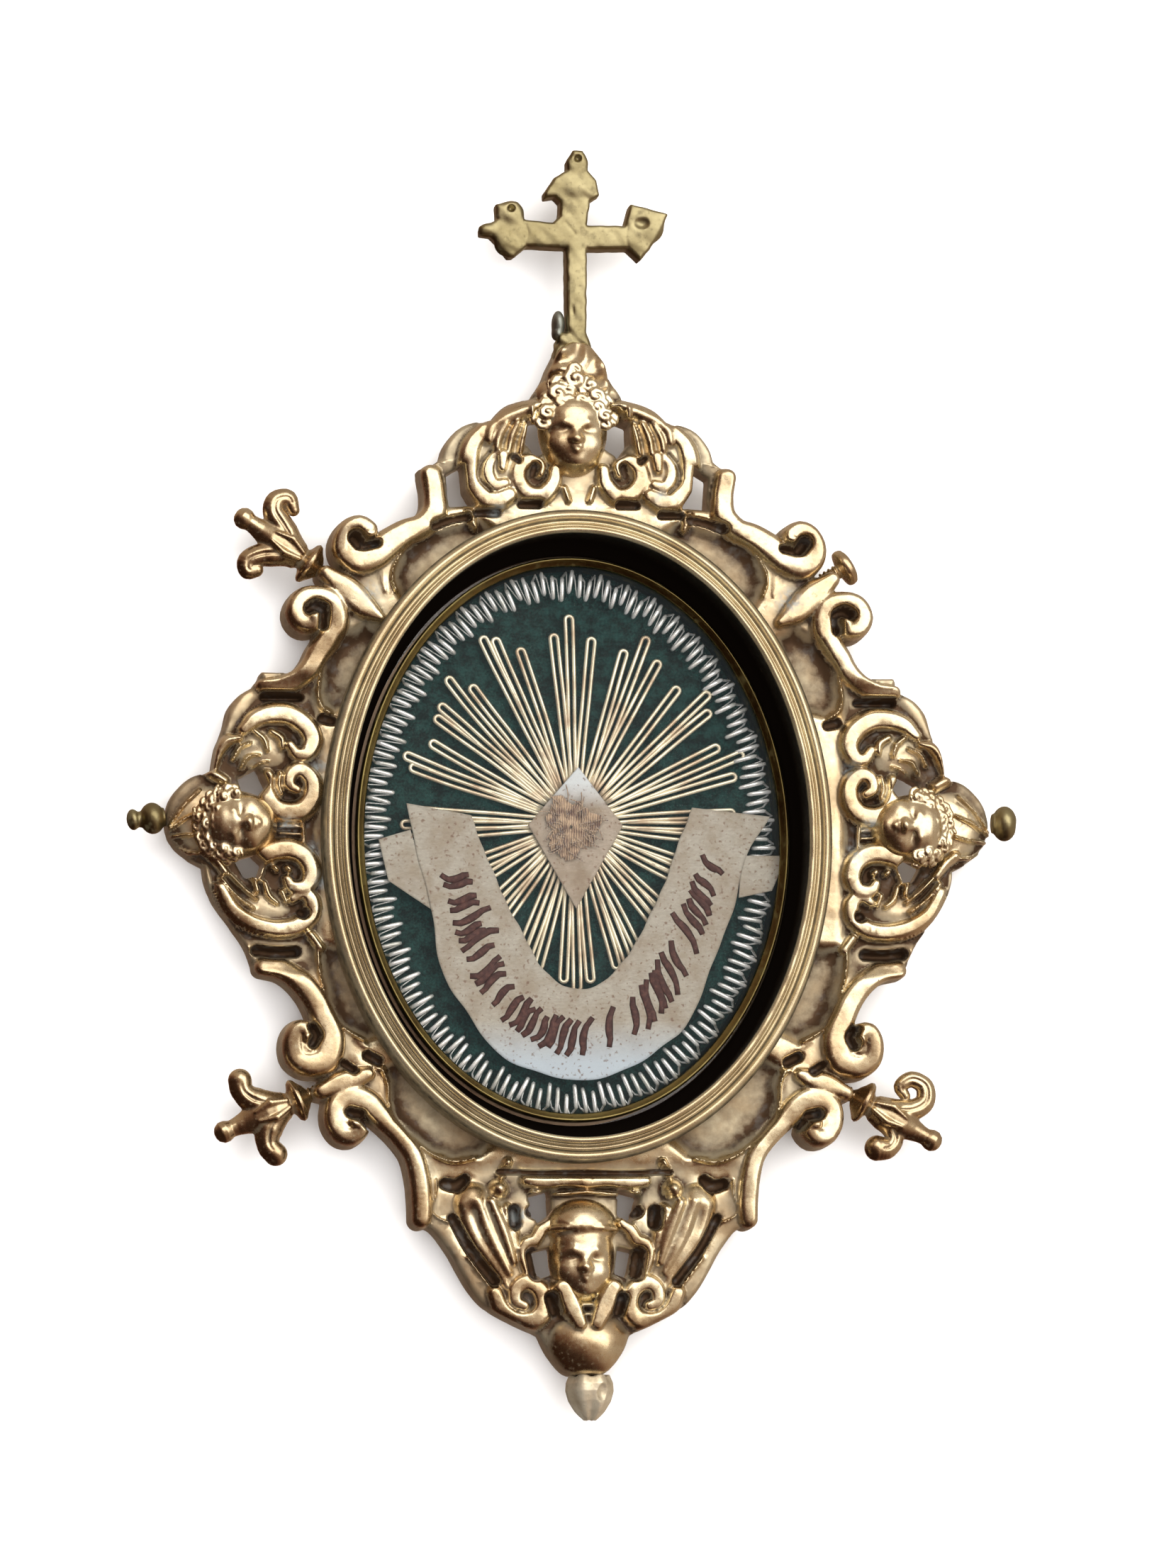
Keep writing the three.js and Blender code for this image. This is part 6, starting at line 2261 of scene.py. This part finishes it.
@dataclass(frozen=True)
class Fleuron:
    """A turned stem that screws into the frame, with a collar, a bud and two petals that curl back.

    Attributes:
        name: Name of the piece.
        node: The solid it stands for.
        root: Where its stem meets the frame.
        axis: Direction of its axis, in degrees.
        petals: Middle line and radii of each petal.
        pitch: Distance between points of its grid.
        height: Height of its axis.
        triangles: How many triangles it is thinned to.
    """

    name: str
    node: str
    root: tuple[float, float]
    axis: float
    petals: tuple[tuple[Path, tuple[float, ...]], ...] = ()
    pitch: float = 0.09
    height: float = 5.6
    triangles: int = 60_000

    def stem(self, clay: Clay, shaft: Spot, depth: float, collar: list[tuple[float, float]]) -> None:
        """Turns the stem with its thread, and the collar.

        Args:
            clay: The fleuron.
            shaft: Radius and length of the stem, and how far its thread runs.
            depth: Depth of the thread.
            collar: Profile of the collar.
        """
        radius, length, threaded = shaft
        x, y, z = np.moveaxis(clay.at, -1, 0)
        wind = np.cos(2 * math.pi * y / 0.48 + np.arctan2(x, z)) * np.clip((threaded - y) / 0.2, 0, 1)
        clay.add(clay.turned([(radius, 0.0), (radius, length)]) - depth * wind, 0.05)
        clay.add(clay.turned(collar), 0.06)

    def petal(self, clay: Clay, line: Path, radii: tuple[float, ...]) -> None:
        """Models one petal, with a groove along it.

        Args:
            clay: The fleuron.
            line: Middle line of the petal.
            radii: Its radius along the line.
        """
        smooth = smooth_line(np.array(line), 0.3)
        points = [(x, y, 0.15) for x, y in smooth]
        clay.add(clay.strand(points, radii), 0.15)
        swell = spread(radii, len(points))
        lifted = [(x, y, 0.2 + r) for (x, y, _), r in zip(points, swell)][2:-2]
        clay.cut(clay.strand(lifted, (0.08, 0.2, 0.16, 0.08)), 0.1)

    def build(self, bronze: Finish) -> None:
        """Builds the fleuron.

        Args:
            bronze: Its finish.
        """
        clay = Clay((-5.0, -0.4, -2.4), (5.0, 10.9, 2.4), grid_pitch(self.pitch))
        collar = [(0.7, 1.1), (1.1, 1.35), (1.5, 1.7), (1.95, 2.0), (2.05, 2.3), (1.85, 2.55), (1.3, 2.75),
                  (0.9, 3.0)]
        self.stem(clay, (0.62, 1.7, 1.5), 0.09, collar)
        bulb = [(0.9, 2.9), (1.3, 3.4), (1.6, 4.4), (1.65, 5.4), (1.4, 6.6), (1.05, 7.6), (0.85, 8.4),
                (0.8, 8.9), (1.0, 9.4), (1.0, 9.9), (0.7, 10.35), (0.3, 10.55)]
        clay.add(clay.turned(bulb), 0.08)
        for line, radii in self.petals:
            self.petal(clay, line, radii)
        for side in (-1, 1):
            leaf_line = [(0.35 * side, 3.3, 1.15), (0.75 * side, 4.8, 1.55), (0.45 * side, 6.4, 1.4)]
            clay.add(clay.strand(leaf_line, (0.25, 0.36, 0.12)), 0.1)
        clay.cut(clay.strand([(0, 3.4, 1.75), (0, 5.0, 2.05), (0, 6.6, 1.8)], (0.14, 0.2, 0.1)), 0.1)
        self.screw_in(clay, bronze)

    def screw_in(self, clay: Clay, bronze: Finish) -> None:
        """Sets the modelled form on its root.

        Args:
            clay: The form.
            bronze: Its finish.
        """
        piece = set_down(clay, self.name, bronze, self.axis - 90, (*self.root, self.height))
        # Depth of the hollows, which the finish darkens: grime and painted shade.
        paint(piece, "hollow", clay.hollows(1.0))
        thin(piece, self.triangles)
        place(piece, "gilt_bronze", self.node)


FLEURONS = (
    Fleuron("fleuron_upper_left_leaf", "fleuron_upper_left", (-23.5, 23.9), 145.5, (
        (((-0.6, 4.4), (-1.8, 6.2), (-3.1, 7.1), (-3.9, 6.6), (-3.4, 6.0)), (0.95, 1.15, 1.05, 0.9, 0.7)),
        (((0.6, 4.4), (1.4, 6.2), (2.1, 7.7), (3.1, 8.1), (3.9, 7.3), (3.3, 6.3)),
            (0.95, 1.15, 1.1, 1.0, 0.9, 0.6)),
    )),
    Fleuron("fleuron_lower_left_leaf", "fleuron_lower_left", (-24.7, -24.3), 203.5, (
        (((-0.6, 4.6), (-1.6, 5.9), (-2.8, 6.4), (-3.8, 6.1)), (1.15, 1.3, 1.05, 1.1)),
        (((0.6, 4.6), (1.6, 6.0), (2.8, 6.6), (3.8, 6.4)), (1.15, 1.3, 1.05, 1.1)),
    )),
    Fleuron("fleuron_lower_right_leaf", "fleuron_lower_right", (24.8, -24.1), -29, (
        (((-0.6, 4.8), (-1.5, 6.5), (-2.8, 7.3), (-4.1, 6.6), (-4.1, 5.2), (-3.0, 4.6), (-2.4, 5.4)),
         (1.0, 1.05, 0.95, 0.9, 0.8, 0.7, 0.5)),
        (((0.6, 5.0), (1.6, 6.4), (2.7, 6.3), (3.2, 5.4)), (0.85, 0.8, 0.9, 1.2)),
    )),
)


@dataclass(frozen=True)
class Stub(Fleuron):
    """What is left of the fourth fleuron: the threaded stem and its collar, broken off flat."""

    def build(self, bronze: Finish) -> None:
        """Builds the stub.

        Args:
            bronze: Its finish.
        """
        clay = Clay((-2.4, -0.4, -2.4), (2.4, 3.9, 2.4), grid_pitch(self.pitch))
        collar = [(0.8, 1.9), (1.7, 2.15), (1.8, 2.5), (1.72, 2.9), (1.3, 3.15), (0.5, 3.25)]
        self.stem(clay, (0.66, 2.1, 1.9), 0.1, collar)
        clay.cut(clay.egg((0.2, 3.4, 0.4), (0.7, 0.5, 0.6)), 0.1)
        self.screw_in(clay, bronze)


STUB = Stub("stub_upper_right", "fleuron_stub_upper_right", (23.4, 24.1), 31)


@dataclass(frozen=True)
class Knobs:
    """The two side knobs, of which the left keeps its end bead, and the pale bud at the bottom.

    Attributes:
        left: Where the left knob stands.
        right: Where the right knob stands.
        bud: Where the bud hangs.
        height: Height of their axes.
        pitch: Distance between points of their grids.
    """

    left: tuple[float, float] = (-39.0, 1.2)
    right: tuple[float, float] = (39.4, 1.2)
    bud: tuple[float, float] = (0.5, -51.0)
    height: float = 5.6
    pitch: float = 0.08

    def build_left(self, brass: Finish) -> None:
        """Builds the left knob: a ball and a slightly tilted bead.

        Args:
            brass: Its finish.
        """
        clay = Clay((-2.2, -0.3, -2.2), (2.2, 4.0, 2.2), self.pitch)
        clay.add(clay.turned([(0.85, 0.0), (0.85, 0.4)]), 0.1)
        clay.add(clay.egg((0, 1.15, 0), (1.46, 1.15, 1.46)), 0.12)
        clay.add(clay.strand([(0, 2.0, 0), (0.05, 2.5, 0)], (0.75, 0.7)), 0.1)
        clay.add(clay.egg((0.08, 2.95, 0), (0.98, 0.6, 0.98)), 0.1)
        piece = set_down(clay, "knob_left", brass, 97, (*self.left, self.height))
        place(piece, "olive_brass", "side_knob_left")

    def build_right(self, brass: Finish) -> None:
        """Builds the right knob, which ends at the ball.

        Args:
            brass: Its finish.
        """
        clay = Clay((-2.2, -0.3, -2.2), (2.2, 2.8, 2.2), self.pitch)
        clay.add(clay.turned([(0.9, 0.0), (0.95, 0.4)]), 0.1)
        clay.add(clay.egg((0, 1.2, 0), (1.66, 1.17, 1.66)), 0.12)
        clay.cut(clay.egg((0.3, 2.6, 0.5), (0.6, 0.4, 0.5)), 0.15)
        piece = set_down(clay, "knob_right", brass, -90, (*self.right, self.height))
        place(piece, "olive_brass", "side_knob_right")

    def build_bud(self, metal: Finish) -> None:
        """Builds the bud: a worn, faceted drop with a ridge down its front.

        Args:
            metal: Its finish.
        """
        clay = Clay((-2.8, -0.3, -2.6), (2.8, 4.2, 2.6), self.pitch)
        drop = [(1.75, -0.2), (2.05, 0.5), (2.1, 1.2), (1.85, 2.1), (1.3, 3.0), (0.5, 3.85)]
        clay.add(clay.turned(drop), 0.1)
        x, z = clay.at[..., 0], clay.at[..., 2]
        clay.body += 0.13 * np.cos(6 * np.arctan2(x, z)) * np.clip(np.hypot(x, z), 0, 1) - 0.05
        clay.cut(clay.egg((-1.2, 1.5, 1.9), (0.7, 0.9, 0.5)), 0.15)
        piece = set_down(clay, "bud_bottom", metal, -180, (*self.bud, self.height))
        place(piece, "pale_metal", "bottom_bud")


@dataclass(frozen=True)
class Studio:
    """Pale floor, one large soft light, fill and camera.

    Attributes:
        aim: What the camera looks at, in millimetres.
        toward: Direction from there to the camera.
        distance: How far the camera is.
        lens: Its focal length.
    """

    aim: Spot = (0.85, 4.62, 5.75)
    toward: Spot = (-0.15, -0.115, 0.975)
    distance: float = 816.5
    lens: float = 200.0

    def camera(self) -> None:
        """Sets the camera up, upright to the object and to the picture alike."""
        data = bpy.data.cameras.new("camera")
        data.lens = self.lens
        data.sensor_width = 36.0
        data.clip_start = 0.01
        data.clip_end = 10.0
        camera = bpy.data.objects.new("camera", data)
        bpy.context.scene.collection.objects.link(camera)
        back = np.array(self.toward) / np.linalg.norm(self.toward)
        upright = np.cross((0, 1, 0), back)
        level = np.array((1, 0, 0)) - back[0] * back
        right = upright / np.linalg.norm(upright) + level / np.linalg.norm(level)
        right /= np.linalg.norm(right)
        up = np.cross(back, right)
        place_ = (np.array(self.aim) + self.distance * back) * MM
        rows = np.column_stack([right, up, back, place_]).tolist() + [[0, 0, 0, 1]]
        camera.matrix_world = Matrix(rows)
        bpy.context.scene.camera = camera

    def softbox(self, name: str, middle: Spot, size: tuple[float, float], turn: float,
                power: float, colour: Colour, glossy: bool = True) -> None:
        """Hangs one soft light.

        Args:
            name: Its name.
            middle: Its middle, in millimetres.
            size: Its sides, in millimetres.
            turn: Its turn about the upright axis, in degrees.
            power: Its power.
            colour: Its colour.
            glossy: Whether polished metal mirrors it.
        """
        data = bpy.data.lights.new(name, "AREA")
        data.shape = "RECTANGLE"
        data.size, data.size_y = (s * MM for s in size)
        data.energy = power
        data.color = colour
        light = bpy.data.objects.new(name, data)
        light.location = [m * MM for m in middle]
        light.rotation_euler = (0, 0, math.radians(turn))
        light.visible_camera = False
        light.visible_glossy = glossy
        bpy.context.scene.collection.objects.link(light)

    def sky(self) -> None:
        """Makes the room: pale on the upper right, a dim warm brown on the lower left."""
        world = bpy.data.worlds.new("room")
        bpy.context.scene.world = world
        world.use_nodes = True
        tree = world.node_tree
        kinds = ("TexCoord", "SeparateXYZ", "Math", "Math", "ValToRGB")
        places, parts, slant, lean, ramp = (tree.nodes.new("ShaderNode" + kind) for kind in kinds)
        slant.operation, lean.operation = "ADD", "MULTIPLY_ADD"
        lean.inputs[1].default_value = lean.inputs[2].default_value = 0.5
        for source, sink in ((places.outputs["Generated"], parts.inputs[0]),
                             (parts.outputs[0], slant.inputs[0]), (parts.outputs[1], slant.inputs[1]),
                             (slant.outputs[0], lean.inputs[0]), (lean.outputs[0], ramp.inputs[0]),
                             (ramp.outputs[0], tree.nodes["Background"].inputs[0])):
            tree.links.new(source, sink)
        stops = ramp.color_ramp.elements
        stops[0].position, stops[0].color = 0.1, (0.03, 0.014, 0.009, 1)
        stops[1].position, stops[1].color = 0.94, (0.40, 0.33, 0.27, 1)
        for position, colour in ((0.30, (0.13, 0.060, 0.04, 1)), (0.55, (0.40, 0.29, 0.21, 1))):
            stops.new(position).color = colour

    def build(self, floor_finish: Finish) -> None:
        """Builds the floor, the lights and the camera.

        Args:
            floor_finish: Finish of the floor.
        """
        corners = np.array([(-1, -1, 0), (1, -1, 0), (1, 1, 0), (-1, 1, 0)]) * 1500.0 - (0, 0, 0.02)
        floor = make_mesh("floor", (corners, np.array([(0, 1, 2, 3)])), floor_finish)
        floor.visible_glossy = False
        floor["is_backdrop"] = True
        self.softbox("key", (224, 265, 500), (520, 800), 60, 2.7, (1.0, 0.99, 0.95))
        self.softbox("fill", (-60, -40, 900), (1100, 1100), 0, 16.3, (1.0, 1.0, 1.0), glossy=False)
        self.sky()
        bpy.context.scene.view_settings.view_transform = "Standard"
        self.camera()


def show_sizes(stage: str, sizes: dict[str, list[list[float]]]) -> None:
    """Keeps the object's outer box at one stage.

    Args:
        stage: Name of the stage.
        sizes: Where the boxes are kept.
    """
    low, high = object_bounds()
    sizes[stage] = [[float(v) for v in low], [float(v) for v in high]]
    LOG.info("%s: the object's box is %s", stage, sizes[stage])


def main() -> None:
    """Builds the reliquary and its studio."""
    logging.basicConfig(level=logging.INFO, format="%(name)s: %(message)s")
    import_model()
    sizes: dict[str, list[list[float]]] = {}
    show_sizes("after_load", sizes)
    bronze = GILT_BRONZE.make()
    turned = GILT_TURNED.make()
    brass = OLIVE_BRASS.make()
    FrameCasting().build(bronze)
    for head in HEADS:
        head.build(bronze)
    Bezel().build(BEZEL_BRONZE.make())
    Cross().build(brass, SOLDER.make())
    for fleuron in FLEURONS:
        fleuron.build(turned)
    STUB.build(turned)
    knobs = Knobs()
    knobs.build_left(brass)
    knobs.build_right(brass)
    knobs.build_bud(PALE_METAL.make())
    capsule = Capsule()
    capsule.build_tray(CAPSULE_BRASS.make())
    capsule.build_glass(ClearGlass().make())
    VelvetPad().build(Velvet().make())
    CoilBorder().build(SILVER_WIRE.make())
    RayWires().build(GOLD_WIRE.make())
    relic = Relic()
    relic.build_lozenge(LOZENGE_PAPER.make())
    relic.build_cloth(OldCloth().make())
    Banner().build(BANNER_PAPER.make(), Ink().make())
    Studio().build(PaleFloor().make())
    show_sizes("before_finish", sizes)


if __name__ == "__main__":
    main()
